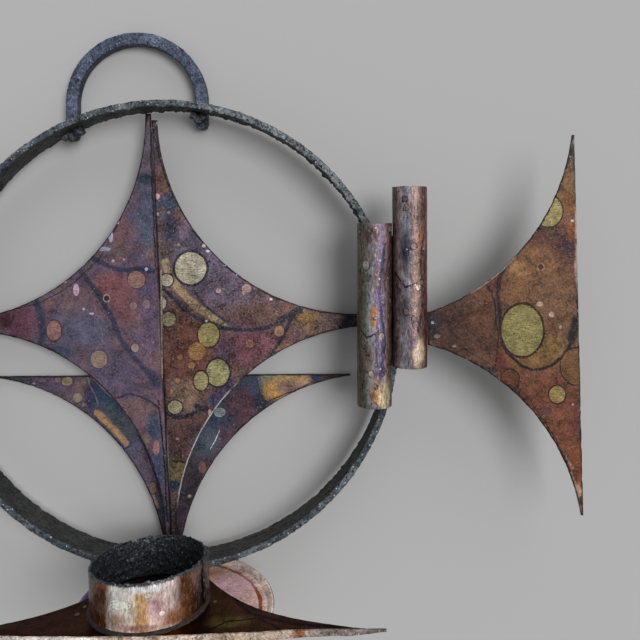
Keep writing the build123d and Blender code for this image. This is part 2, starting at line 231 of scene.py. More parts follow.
# fine grain: light and dark, with warm specks
def makeGrain():
    tree, into, out = newGroup("fineGrain", "Colour Color, Place Vector, Scale Float, Amount Float, "
                                            "Warm Color, WarmAmount Float", "Colour Color, Height Float")
    darkest = 0.12    # share of the colour that is left in the deepest grain
    fine = cloud(tree, into["Place"], into["Scale"], 4, 0.75)
    broad = cloud(tree, into["Place"], sums(tree, "MULTIPLY", into["Scale"], 0.16), 3)
    light = sums(tree, "ADD", sums(tree, "SUBTRACT", fine, 0.5),
                 sums(tree, "MULTIPLY", sums(tree, "SUBTRACT", broad, 0.5), 0.6))
    factor = sums(tree, "MAXIMUM", sums(tree, "MULTIPLY_ADD", light, into["Amount"], 1.0), darkest)
    shade = add(tree, "ShaderNodeCombineColor", {0: factor, 1: factor, 2: factor}).outputs[0]
    toned = mixed(tree, 1.0, into["Colour"], shade, "MULTIPLY")
    other = cloud(tree, vectors(tree, "ADD", into["Place"], (31.0, 17.0, 5.0)), into["Scale"], 3, 0.7)
    specks = sums(tree, "MULTIPLY", fade(tree, other, 0.52, 0.7), into["WarmAmount"])
    join(tree, out["Colour"], mixed(tree, specks, toned, into["Warm"]))
    join(tree, out["Height"], fine)
    return tree


# scattered small flecks with ragged outlines, one in each cell where the chance says so
def makeFlecks():
    tree, into, out = newGroup("flecks", "Colour Color, Place Vector, Scale Float, Size Float, Chance Float, "
                                         "Tone Color", "Colour Color")
    shift = scaled(tree, drift(tree, into["Place"], sums(tree, "MULTIPLY", into["Scale"], 3.2), 2),
                   sums(tree, "DIVIDE", 0.55, into["Scale"]))
    cells = add(tree, "ShaderNodeTexVoronoi", {"Vector": vectors(tree, "ADD", into["Place"], shift),
                                               "Scale": into["Scale"]})
    pick = add(tree, "ShaderNodeSeparateColor", {0: cells.outputs["Color"]}).outputs
    size = sums(tree, "MULTIPLY", into["Size"], pick[1])
    near = fade(tree, sums(tree, "SUBTRACT", cells.outputs["Distance"], size), -0.04, 0.04, 1.0, 0.0)
    mask = sums(tree, "MULTIPLY", near, sums(tree, "LESS_THAN", pick[0], into["Chance"]))
    join(tree, out["Colour"], mixed(tree, mask, into["Colour"], into["Tone"]))
    return tree


# worn plate edge: a dark line with bright chips, rubbed bare where Pale asks; on the right star plate's lower
# edge this pale line is lighter filed metal with a painted highlight. Edge is the distance in mm
def makeWornEdge():
    tree, into, out = newGroup("wornEdge", "Colour Color, Edge Float, Free Vector, Dark Color, Bright Color, "
                                           "Chips Float, Pale Float", "Colour Color")
    patchy = cloud(tree, into["Free"], 0.22, 3)
    reach = sums(tree, "MULTIPLY_ADD", patchy, 1.3, -0.1)    # width of the dark line, up to 1.2 mm
    dark = fade(tree, sums(tree, "SUBTRACT", into["Edge"], reach), -0.25, 0.35, 0.85, 0.0)
    chips = cloud(tree, vectors(tree, "ADD", into["Free"], (9.0, 40.0, 3.0)), 0.55, 4, 0.7)
    limit = sums(tree, "MULTIPLY_ADD", into["Chips"], -0.16, 0.66)    # more chips come from a lower limit
    rise = fade(tree, sums(tree, "SUBTRACT", chips, limit), 0.0, 0.05)
    bright = sums(tree, "MULTIPLY", rise, fade(tree, into["Edge"], 0.35, 1.3, 1.0, 0.0))
    rubbedAndLit = sums(tree, "MULTIPLY", fade(tree, patchy, 0.3, 0.5),
                  fade(tree, into["Edge"], 0.45, 0.85, 1.0, 0.0))
    bright = sums(tree, "MAXIMUM", bright, sums(tree, "MULTIPLY", rubbedAndLit, into["Pale"]))
    join(tree, out["Colour"], mixed(tree, bright, mixed(tree, dark, into["Colour"], into["Dark"]),
                                    into["Bright"]))
    return tree


platePlace = makePlatePlace()
rolledPlace = makeRolledPlace()
softArea = makeSoftArea()
lineAway = makeLineAway()
veinColour = makeVein()
bareSpot = makeSpot()
fineGrain = makeGrain()
flecks = makeFlecks()
wornEdge = makeWornEdge()
print("node groups made")


def newMaterial(name):
    material = bpy.data.materials.new(name)
    material.use_nodes = True
    return material, material.node_tree, material.node_tree.nodes["Principled BSDF"]


def paintMarks(tree, colour, marks, place, near, upright=True):
    # soft areas, then veins, then spots; returns the colour and how far a point is bare metal
    def at(a, b, depth=0):
        return (a, depth, b) if upright else (a, b, depth)

    for x, z, wide, high, softness, shade in marks["patches"]:
        colour = use(tree, softArea, Colour=colour, Place=place, Centre=at(x, z), Reach=at(wide, high, 1),
                     Full=1 - softness, Bare=1 + softness, Tone=tone(shade))["Colour"]
    for width, softness, shade, points in marks["veins"]:
        away = None
        for start, end in zip(points, points[1:]):
            line = Vector(at(*end)) - Vector(at(*start))
            step = use(tree, lineAway, Place=place, Start=at(*start), Line=line,
                       Unit=line / line.length_squared)["Away"]
            away = step if away is None else sums(tree, "MINIMUM", away, step)
        half = width * 0.42
        colour = use(tree, veinColour, Colour=colour, Away=away, Full=half * (1 - softness),
                     Bare=half * (1 + softness), Tone=tone(shade))["Colour"]
    turned = add(tree, "ShaderNodeMapping", {"Vector": near, "Rotation": (0, radians(34), 0),
                                             "Scale": (0.25, 1, 3.2)})
    brushed = fade(tree, cloud(tree, turned.outputs[0], 0.9), 0.5, 0.62, 0.0, 0.85)
    blotch = fade(tree, cloud(tree, near, 0.7, 4, 0.7), 0.4, 0.75, 0.0, 0.8)
    shine = 0.0
    for x, z, wide, high, rim, shade, rimShade in marks["spots"]:
        out = use(tree, bareSpot, Colour=colour, Shine=shine, Near=near, Centre=at(x, z),
                  Reach=at(wide, high, 1),
                  Size=(wide + high) / 2, Rim=rim, Tone=tone(shade), RimTone=tone(rimShade),
                  Marks=brushed if wide > 2.5 else 0.0, Blotch=blotch)    # small spots have no brush marks
        colour, shine = out["Colour"], out["Shine"]
    return colour, shine


def paintAreas(tree, colour, place, areas):
    for centre, reach, shade in areas:
        colour = use(tree, softArea, Colour=colour, Place=place, Centre=centre, Reach=reach, Full=0.4, Bare=1.2,
                     Tone=tone(shade))["Colour"]
    return colour


def paintFlecks(tree, colour, place, rows):
    for scale, size, chance, shade in rows:
        colour = use(tree, flecks, Colour=colour, Place=place, Scale=scale, Size=size, Chance=chance,
                     Tone=tone(shade))["Colour"]
    return colour


def paintGrain(tree, colour, place, look, amount, warmAmount):
    return use(tree, fineGrain, Colour=colour, Place=place, Scale=look["grainScale"], Amount=amount,
               Warm=tone(look["warm"]), WarmAmount=warmAmount)


def finishShader(tree, shader, look, free, height, surface, shine=None):
    # roughness and bump; surface gives the sizes of their noise, shine the bare metal
    stains = cloud(tree, free, surface["stainScale"], 4)
    rough = sums(tree, "MULTIPLY_ADD", stains, surface["stain"], look["rough"] - surface["stain"] / 2)
    dents = cloud(tree, free, surface["dentScale"], 5, surface["dentRough"])
    height = sums(tree, "MULTIPLY_ADD", dents, surface["dent"], height)
    if shine is not None:
        rough = sums(tree, "MULTIPLY_ADD", shine, -0.08, rough)
        height = sums(tree, "MULTIPLY_ADD", shine, -0.3, height)
    bump = add(tree, "ShaderNodeBump", {"Strength": look["bump"], "Distance": surface["depth"] * mm,
                                        "Height": height})
    shader.inputs["Metallic"].default_value = look["metallic"]
    join(tree, shader.inputs["Roughness"], rough)
    join(tree, shader.inputs["Normal"], bump.outputs[0])


plateSurface = {"stainScale": 0.4, "stain": 0.24, "dentScale": 0.3, "dentRough": 0.6, "dent": 1.6, "depth": 0.2}


def plateMaterial(name, marks, look, upright=True, turn=(1, 1, 1), shift=(0, 0, 0)):
    material, tree, shader = newMaterial(name)
    spread = use(tree, platePlace, Flatten=(1, 0, 1) if upright else (1, 1, 0), Turn=turn, Shift=shift,
                 Waver=look["waver"])
    place, near, free = spread["Place"], spread["Near"], spread["Free"]
    first = fade(tree, cloud(tree, place, look["broad"], 3), 0.38, 0.62)
    second = fade(tree, cloud(tree, place, look["broad"] * 3.1, 4), 0.42, 0.64)
    ground = [tone(shade) for shade in look["ground"]]
    colour = mixed(tree, second, mixed(tree, first, ground[0], ground[1]), ground[2])
    colour, shine = paintMarks(tree, colour, marks, place, near, upright)
    calmer = sums(tree, "MULTIPLY_ADD", shine, -0.45, 1.0)
    grained = paintGrain(tree, colour, free, look, sums(tree, "MULTIPLY", calmer, look["grain"]),
                         sums(tree, "MULTIPLY", calmer, look["warmAmount"]))
    colour = paintFlecks(tree, grained["Colour"], free, look["flecks"])
    edge = add(tree, "ShaderNodeAttribute", attribute_name="edgeAway").outputs["Fac"]
    pale = 0.0
    for centre, reach in look["pale"]:
        away = vectors(tree, "LENGTH", vectors(tree, "DIVIDE", vectors(tree, "SUBTRACT", near, centre),
                                               reach), out=1)
        pale = sums(tree, "MAXIMUM", pale, fade(tree, away, 0.7, 1.0, 0.95, 0.0))
    colour = use(tree, wornEdge, Colour=colour, Edge=edge, Free=free, Dark=tone(look["edgeDark"]),
                 Bright=tone(look["edgeBright"]), Chips=look["chips"], Pale=pale)["Colour"]
    join(tree, shader.inputs["Base Color"], mixed(tree, 1.0, colour, look["level"] + (1,), "MULTIPLY"))
    if "sheen" in look:
        shader.inputs["Specular Tint"].default_value = tone(look["sheen"])
    finishShader(tree, shader, look, free, grained["Height"], plateSurface, shine)
    return material


# marks on each plate, in millimetres. Patches: x, z, half width, half height, softness, tone.
# Veins: width, softness, tone, points. Spots: x, z, half width, half height, rim width, tone, rim tone.
starLeftMarks = {
    "patches": (
        (6.0, -52.9, 3.0, 10.8, 0.5, (88, 74, 88)), (6.0, -85.0, 5.4, 18.7, 0.6, (79, 78, 97)),
        (-7.3, -93.3, 4.4, 9.9, 0.7, (110, 76, 80)), (-11.2, -103.2, 6.9, 4.4, 0.6, (100, 78, 80)),
        (5.5, -67.2, 4.4, 3.0, 0.5, (43, 51, 68)), (8.5, -106.2, 2.0, 4.4, 0.7, (112, 86, 84)),
        (-10.7, -120.4, 9.9, 6.9, 0.5, (124, 74, 78)), (-4.3, -129.8, 6.4, 8.9, 0.6, (118, 76, 80)),
        (6.0, -121.9, 4.4, 11.8, 0.6, (92, 72, 98)), (7.5, -141.6, 4.4, 12.8, 0.6, (98, 74, 96)),
        (-29.5, -126.9, 9.9, 6.4, 0.6, (108, 84, 90)), (-28.0, -141.6, 16.8, 7.9, 0.6, (89, 82, 101)),
        (-56.6, -137.7, 7.9, 7.9, 0.5, (104, 62, 78)), (-65.0, -137.7, 3.9, 3.9, 0.6, (72, 44, 46)),
        (-12.2, -162.3, 12.8, 9.9, 0.7, (92, 76, 96)), (0.6, -180.1, 8.4, 4.9, 0.35, (114, 84, 88)),
        (10.0, -189.9, 3.4, 6.9, 0.6, (61, 69, 93)), (5.5, -194.9, 2.5, 2.5, 0.6, (118, 98, 88)),
        (11.4, -210.6, 3.0, 12.8, 0.6, (66, 74, 101)), (13.9, -231.3, 3.0, 7.9, 0.6, (71, 69, 85)),
        (-36.9, -152.5, 5.9, 3.0, 0.7, (64, 69, 88)),
    ),
    "veins": (
        (2.96, 0.5, (53, 53, 72), ((-22.1, -105.7), (-17.2, -108.1), (-10.7, -111.1), (-3.8, -112.1),
         (3.1, -111.1), (9.0, -112.6))),
        (3.2, 0.55, (58, 56, 75), ((-27.0, -113.1), (-23.1, -117.0), (-19.1, -122.4), (-14.2, -129.8),
         (-10.3, -137.7), (-7.3, -145.6), (-0.9, -154.0), (5.0, -160.9), (10.9, -166.8))),
        (5.42, 0.6, (60, 58, 77), ((8.5, -163.3), (11.4, -168.3))),
        (1.97, 0.8, (85, 69, 87), ((5.5, -113.1), (7.0, -126.9), (7.5, -141.6))),
        (4.44, 0.6, (58, 56, 75), ((-50.2, -125.9), (-46.7, -133.8), (-45.7, -141.6), (-47.2, -149.0),
         (-42.8, -152.0))),
        (1.18, 0.6, (52, 48, 64), ((-8.3, -175.2), (-2.9, -172.9), (3.5, -174.2), (8.5, -177.1),
         (11.9, -179.6))),
        (0.49, 0.5, (38, 36, 48), ((-2.4, -195.9), (5.5, -208.7), (10.4, -221.5))),
        (0.99, 0.8, (72, 78, 95), ((7.5, -182.1), (11.4, -191.9))),
        # dark line along the ridge above the solder: painted shade of the narrow gap between the two plates
        (0.79, 0.5, (30, 26, 34), ((8.0, -37.2), (9.0, -77.6), (10.7, -112.1))),
        # the same painted gap shade below the solder
        (0.89, 0.5, (26, 22, 30), ((11.9, -176.1), (14.4, -200.8), (16.4, -235.3))),
        (0.49, 0.5, (34, 28, 34), ((-66.4, -133.3), (-46.7, -128.3), (-31.9, -120.0), (-17.2, -106.2),
         (-7.3, -88.4), (0.6, -65.7), (6.5, -37.2))),
    ),
    "spots": (
        (1.1, -116.7, 4.3, 4.2, 0.34, (165, 124, 114), (64, 50, 60)),
        (-0.5, -129.7, 1.9, 1.9, 0.3, (156, 114, 116), (80, 64, 78)),
        (6.0, -128.8, 1.9, 2.2, 0.3, (143, 110, 116), (76, 62, 78)),
        (0.3, -150.3, 1.9, 2.1, 0.3, (167, 137, 130), (56, 50, 70)),
        (-17.7, -156.1, 4.1, 4.3, 0.34, (167, 135, 125), (70, 64, 84)),
        (-40.3, -142.1, 3.7, 5.0, 0.44, (163, 116, 111), (40, 44, 60)),
        (-13.9, -126.0, 1.4, 1.5, 0.44, (68, 45, 56), (165, 140, 130)),
        (-29.0, -121.9, 1.5, 3.0, 0.1, (207, 163, 188), (110, 84, 90)),
        (-25.3, -131.3, 0.6, 0.6, 0.05, (209, 173, 200), (110, 84, 90)),
        (-21.3, -133.5, 1.1, 0.5, 0.05, (209, 173, 200), (110, 84, 90)),
        (10.9, -199.3, 1.5, 3.7, 0.1, (167, 120, 118), (70, 70, 98)),
        (-14.7, -101.7, 3.0, 1.1, 0.1, (165, 155, 190), (80, 72, 84)),
        (-11.7, -95.8, 1.2, 2.6, 0.1, (185, 173, 209), (80, 72, 84)),
        (-8.3, -88.2, 0.8, 1.3, 0.1, (209, 194, 227), (90, 72, 80)),
        (-35.9, -118.0, 2.1, 0.6, 0.1, (235, 210, 237), (60, 44, 50)),
        (6.0, -111.6, 0.8, 0.8, 0.1, (187, 194, 244), (40, 58, 88)),
        (-3.6, -77.1, 0.7, 0.7, 0.1, (182, 133, 146), (88, 70, 84)),
        (-10.5, -107.6, 0.8, 0.8, 0.1, (182, 153, 162), (80, 70, 84)),
        (-5.1, -106.9, 0.6, 0.6, 0.1, (194, 143, 146), (80, 70, 84)),
    ),
}
starRightMarks = {
    "patches": (
        (9.5, -49.0, 3.4, 12.8, 0.5, (78, 66, 76)), (18.3, -79.5, 4.4, 4.4, 0.45, (53, 63, 82)),
        (12.4, -79.0, 2.5, 3.0, 0.5, (51, 57, 75)), (15.4, -85.5, 3.9, 3.0, 0.6, (84, 72, 76)),
        (18.3, -94.8, 4.4, 9.9, 0.55, (54, 54, 73)), (25.7, -97.3, 4.4, 11.8, 0.6, (98, 78, 92)),
        (14.9, -104.7, 4.4, 6.9, 0.7, (96, 74, 70)), (45.9, -122.9, 16.8, 9.9, 0.6, (98, 78, 92)),
        (59.7, -133.8, 11.8, 4.9, 0.6, (102, 72, 66)), (34.6, -108.1, 16.8, 13.8, 0.6, (94, 80, 96)),
        (26.2, -151.5, 11.8, 19.7, 0.55, (104, 60, 52)), (17.3, -144.1, 5.9, 16.8, 0.6, (88, 52, 46)),
        (57.8, -149.5, 13.3, 8.9, 0.55, (106, 62, 70)), (44.5, -152.5, 4.9, 5.9, 0.6, (96, 66, 84)),
        (25.2, -173.2, 7.9, 7.9, 0.45, (128, 96, 80)), (44.9, -170.2, 3.4, 5.9, 0.6, (63, 53, 82)),
        (39.5, -175.2, 3.0, 4.4, 0.6, (61, 53, 80)), (29.2, -187.0, 5.9, 5.4, 0.35, (104, 66, 58)),
        (20.3, -195.9, 7.9, 12.8, 0.6, (84, 56, 56)), (31.1, -195.9, 3.9, 9.9, 0.6, (78, 58, 66)),
        (86.3, -137.2, 9.9, 6.4, 0.5, (116, 82, 63)), (84.4, -135.2, 3.9, 2.5, 0.7, (141, 99, 63)),
        (96.2, -139.2, 5.9, 4.4, 0.6, (102, 79, 76)), (105.1, -139.2, 4.4, 4.4, 0.45, (40, 40, 49)),
        (74.0, -150.5, 6.9, 3.0, 0.6, (130, 88, 72)), (20.3, -210.6, 4.9, 5.4, 0.35, (112, 92, 60)),
        (20.3, -218.0, 4.4, 3.0, 0.4, (28, 54, 74)), (20.3, -229.4, 3.9, 7.9, 0.6, (96, 76, 76)),
        (14.4, -126.9, 3.4, 4.4, 0.7, (104, 78, 92)),
    ),
    "veins": (
        (2.96, 0.45, (120, 98, 86), ((10.0, -80.0), (10.9, -96.3), (11.7, -111.1), (12.9, -122.9))),
        (4.44, 0.4, (152, 126, 96), ((15.4, -108.1), (17.8, -116.0), (23.3, -122.9), (30.2, -129.8),
         (37.1, -134.7), (44.0, -138.2))),
        (1.48, 0.8, (158, 112, 84), ((17.3, -113.1), (25.2, -124.9), (34.1, -133.3))),
        (2.27, 0.45, (34, 38, 54), ((11.4, -119.0), (15.4, -122.4), (19.8, -125.9), (24.2, -131.3),
         (30.7, -135.7), (39.0, -139.7), (47.9, -141.4), (57.8, -141.6), (65.6, -140.4), (73.0, -136.7),
         (77.5, -133.8))),
        (4.44, 0.45, (34, 37, 47), ((71.6, -137.2), (76.5, -134.2), (80.9, -132.3))),
        (1.48, 0.5, (54, 51, 67), ((28.7, -121.4), (33.1, -127.8), (38.5, -133.0), (44.9, -137.2),
         (51.8, -139.9))),
        (2.27, 0.5, (44, 38, 53), ((77.5, -135.2), (74.0, -142.6), (70.6, -148.5), (68.1, -153.0))),
        (2.46, 0.45, (35, 35, 48), ((15.4, -182.1), (20.3, -184.5), (25.7, -184.0), (30.2, -181.6),
         (35.1, -180.1))),
        (2.96, 0.5, (36, 34, 48), ((30.2, -178.6), (35.6, -181.1), (37.6, -185.0))),
        (0.69, 0.6, (46, 30, 40), ((38.5, -173.2), (39.0, -179.1), (36.6, -185.0))),
        (0.99, 0.6, (44, 30, 32), ((19.3, -205.7), (26.2, -206.7))),
        (0.84, 0.35, (168, 158, 142), ((13.6, -122.9), (13.4, -141.6), (13.9, -158.9), (14.9, -175.2))),
        (0.69, 0.6, (60, 48, 50), ((13.9, -178.6), (15.4, -200.8), (17.3, -235.3))),
        (0.79, 0.5, (30, 24, 28), ((8.0, -37.2), (12.4, -57.9), (19.3, -76.6), (30.7, -95.3), (47.9, -113.1),
         (67.6, -125.4), (91.3, -133.3), (109.0, -135.7))),
        # pale line along the lower right cut edge: lighter filed metal with a painted highlight
        (0.74, 0.35, (176, 168, 158), ((57.8, -162.3), (50.9, -168.3), (43.0, -177.1), (35.6, -188.0),
         (30.2, -200.8), (25.7, -216.6), (23.3, -235.3))),
        (0.64, 0.5, (160, 128, 104), ((109.0, -142.1), (96.2, -143.6), (81.4, -148.5), (70.6, -153.5))),
    ),
    "spots": (
        (27.7, -111.1, 7.6, 7.8, 1.18, (204, 186, 162), (42, 40, 58)),
        (16.0, -117.0, 3.0, 2.9, 0.59, (214, 192, 169), (44, 38, 52)),
        (12.7, -128.3, 3.0, 3.4, 0.49, (202, 184, 157), (50, 44, 56)),
        (16.9, -136.2, 3.4, 3.5, 0.59, (154, 138, 103), (44, 34, 38)),
        (36.4, -143.9, 5.1, 5.9, 0.79, (170, 147, 96), (48, 34, 36)),
        (30.7, -152.0, 4.2, 4.4, 0.15, (170, 121, 75), (92, 56, 46)),
        (41.0, -162.6, 5.6, 6.6, 0.89, (175, 160, 112), (40, 30, 44)),
        (32.8, -166.6, 3.4, 4.6, 0.69, (180, 160, 112), (44, 32, 36)),
        (20.1, -179.4, 3.5, 3.2, 0.64, (182, 162, 125), (50, 38, 42)),
        (28.2, -158.9, 1.8, 1.5, 0.3, (170, 117, 84), (84, 54, 44)),
        (22.5, -154.9, 1.3, 1.3, 0.25, (158, 102, 75), (84, 50, 42)),
        (21.3, -166.3, 1.2, 1.5, 0.25, (180, 125, 98), (84, 54, 46)),
        (18.3, -171.7, 0.8, 1.5, 0.2, (180, 125, 103), (84, 54, 46)),
        (71.1, -142.4, 2.4, 2.7, 0.39, (175, 125, 96), (60, 44, 58)),
        (56.6, -148.5, 1.4, 1.4, 0.39, (154, 93, 75), (156, 122, 94)),
        (41.3, -122.2, 1.3, 1.3, 0.2, (197, 153, 150), (86, 68, 82)),
        (55.1, -121.2, 2.4, 2.0, 0.2, (190, 151, 148), (84, 62, 70)),
        (53.6, -123.2, 1.0, 1.0, 0.2, (192, 140, 119), (84, 62, 70)),
        (11.2, -75.8, 1.4, 1.4, 0.15, (240, 173, 166), (110, 88, 92)),
        (11.1, -84.6, 0.9, 1.0, 0.15, (235, 179, 182), (110, 88, 92)),
        (17.0, -83.7, 0.7, 0.7, 0.15, (204, 151, 148), (80, 70, 76)),
        (21.8, -99.3, 0.7, 0.7, 0.15, (194, 138, 144), (90, 72, 84)),
        (34.0, -100.2, 0.9, 0.8, 0.15, (245, 201, 194), (60, 46, 50)),
        (36.1, -102.7, 1.2, 0.6, 0.15, (211, 197, 221), (34, 30, 40)),
        (37.0, -182.3, 0.9, 1.6, 0.15, (211, 151, 135), (80, 50, 46)),
        (21.3, -194.9, 0.7, 0.6, 0.1, (202, 140, 132), (84, 56, 56)),
        (67.1, -126.6, 0.8, 0.6, 0.1, (228, 194, 194), (60, 46, 50)),
        (35.3, -137.2, 0.6, 0.6, 0.05, (204, 201, 235), (34, 44, 72)),
    ),
}
rearStarMarks = {
    "patches": (
        (-62.2, -166.6, 10.0, 4.0, 0.5, (76, 68, 80)), (-45.1, -169.6, 10.0, 7.0, 0.5, (96, 74, 96)),
        (-28.1, -170.6, 4.0, 3.5, 0.6, (124, 94, 92)), (-32.1, -177.7, 7.0, 4.0, 0.6, (112, 88, 96)),
        (-23.6, -175.7, 3.0, 8.0, 0.5, (64, 63, 91)), (-16.1, -173.6, 6.5, 7.5, 0.45, (43, 62, 83)),
        (-11.0, -183.7, 7.0, 7.0, 0.5, (68, 76, 86)), (-5.0, -192.7, 7.0, 10.0, 0.6, (80, 82, 92)),
        (-1.0, -201.7, 5.0, 4.0, 0.6, (65, 73, 92)), (2.0, -210.8, 6.0, 11.0, 0.6, (100, 80, 96)),
        (11.0, -230.3, 5.0, 9.0, 0.6, (61, 63, 74)), (53.2, -167.6, 6.0, 5.0, 0.5, (52, 59, 73)),
        (45.1, -176.7, 6.0, 8.0, 0.5, (56, 63, 77)), (51.1, -181.7, 8.0, 9.0, 0.55, (84, 52, 62)),
        (40.1, -189.7, 8.0, 8.0, 0.6, (53, 59, 80)), (44.1, -197.7, 6.0, 7.0, 0.6, (82, 58, 68)),
        (34.1, -200.7, 6.0, 12.0, 0.55, (73, 77, 88)), (31.1, -210.8, 4.0, 6.0, 0.6, (70, 62, 70)),
        (29.1, -223.8, 6.0, 11.0, 0.6, (48, 40, 46)), (59.7, -170.6, 3.3, 6.0, 0.4, (51, 63, 82)),
        (62.2, -178.7, 3.5, 6.0, 0.5, (39, 38, 59)), (75.2, -170.6, 12.5, 6.5, 0.4, (152, 116, 78)),
        (67.7, -173.1, 4.5, 4.5, 0.6, (172, 124, 66)), (76.2, -171.6, 7.0, 3.5, 0.6, (124, 90, 82)),
        (90.5, -166.6, 4.0, 4.0, 0.3, (37, 45, 66)), (101.3, -165.6, 8.0, 3.0, 0.5, (78, 46, 42)),
        (42.1, -212.8, 8.0, 9.0, 0.6, (84, 54, 58)), (64.2, -166.6, 4.0, 1.5, 0.6, (120, 110, 90)),
    ),
    "veins": (
        (3.71, 0.3, (166, 122, 92), ((-20.6, -184.2), (-16.1, -188.2), (-10.5, -194.2), (-6.0, -199.2))),
        (1.0, 0.9, (190, 138, 84), ((-17.1, -187.7), (-9.0, -196.2))),
        (0.7, 0.5, (56, 46, 52), ((-21.6, -186.7), (-17.1, -191.7), (-11.0, -198.2), (-7.0, -202.2),
         (-4.0, -200.7))),
        (0.8, 0.6, (120, 104, 112), ((-26.1, -166.6), (-23.1, -173.6), (-20.1, -179.7))),
        (0.65, 0.6, (134, 118, 120), ((-23.6, -166.6), (-18.6, -171.6), (-13.0, -177.2))),
        (0.65, 0.5, (36, 34, 46), ((0.5, -195.7), (5.0, -205.2), (9.0, -215.3), (11.5, -225.3))),
        (2.01, 0.5, (128, 100, 92), ((6.0, -219.8), (8.0, -224.8), (10.0, -230.8))),
        (0.45, 0.4, (190, 180, 176), ((40.6, -193.2), (38.6, -197.7), (36.6, -202.2))),
        (0.6, 0.5, (33, 34, 43), ((59.2, -166.6), (60.7, -173.6), (64.2, -179.7))),
        (0.7, 0.5, (40, 34, 40), ((-69.2, -165.4), (-39.1, -165.4), (-23.1, -165.6))),
        (0.8, 0.5, (46, 40, 44), ((57.2, -164.9), (81.2, -165.1), (106.3, -164.9))),
        (0.6, 0.5, (34, 24, 30), ((106.3, -166.1), (86.3, -169.6), (66.2, -178.2), (51.1, -191.7),
         (38.6, -208.8), (29.1, -230.3))),
    ),
    "spots": (
        (-36.1, -168.6, 2.7, 2.2, 0.3, (168, 142, 116), (86, 66, 84)),
        (-30.6, -176.7, 2.3, 2.3, 0.25, (162, 142, 122), (86, 70, 84)),
        (-40.6, -167.9, 1.5, 1.2, 0.2, (150, 112, 110), (86, 66, 90)),
        (-48.7, -168.1, 2.0, 1.0, 0.15, (126, 104, 118), (86, 66, 90)),
        (-27.3, -180.2, 1.1, 1.0, 0.15, (160, 130, 130), (86, 66, 90)),
        (40.9, -184.0, 3.0, 2.3, 0.3, (150, 152, 158), (70, 76, 92)),
        (32.3, -211.0, 1.9, 3.0, 0.25, (128, 92, 80), (66, 48, 54)),
        (7.7, -221.3, 1.8, 2.8, 0.35, (140, 110, 98), (50, 46, 60)),
        (46.1, -200.7, 0.8, 0.8, 0.1, (176, 140, 130), (60, 40, 46)),
        (26.1, -225.3, 0.9, 0.8, 0.1, (190, 160, 150), (60, 40, 46)),
        (-52.7, -169.6, 0.8, 0.6, 0.1, (190, 140, 140), (80, 60, 80)),
        (-51.2, -171.6, 0.7, 0.6, 0.1, (170, 160, 180), (80, 60, 80)),
    ),
}
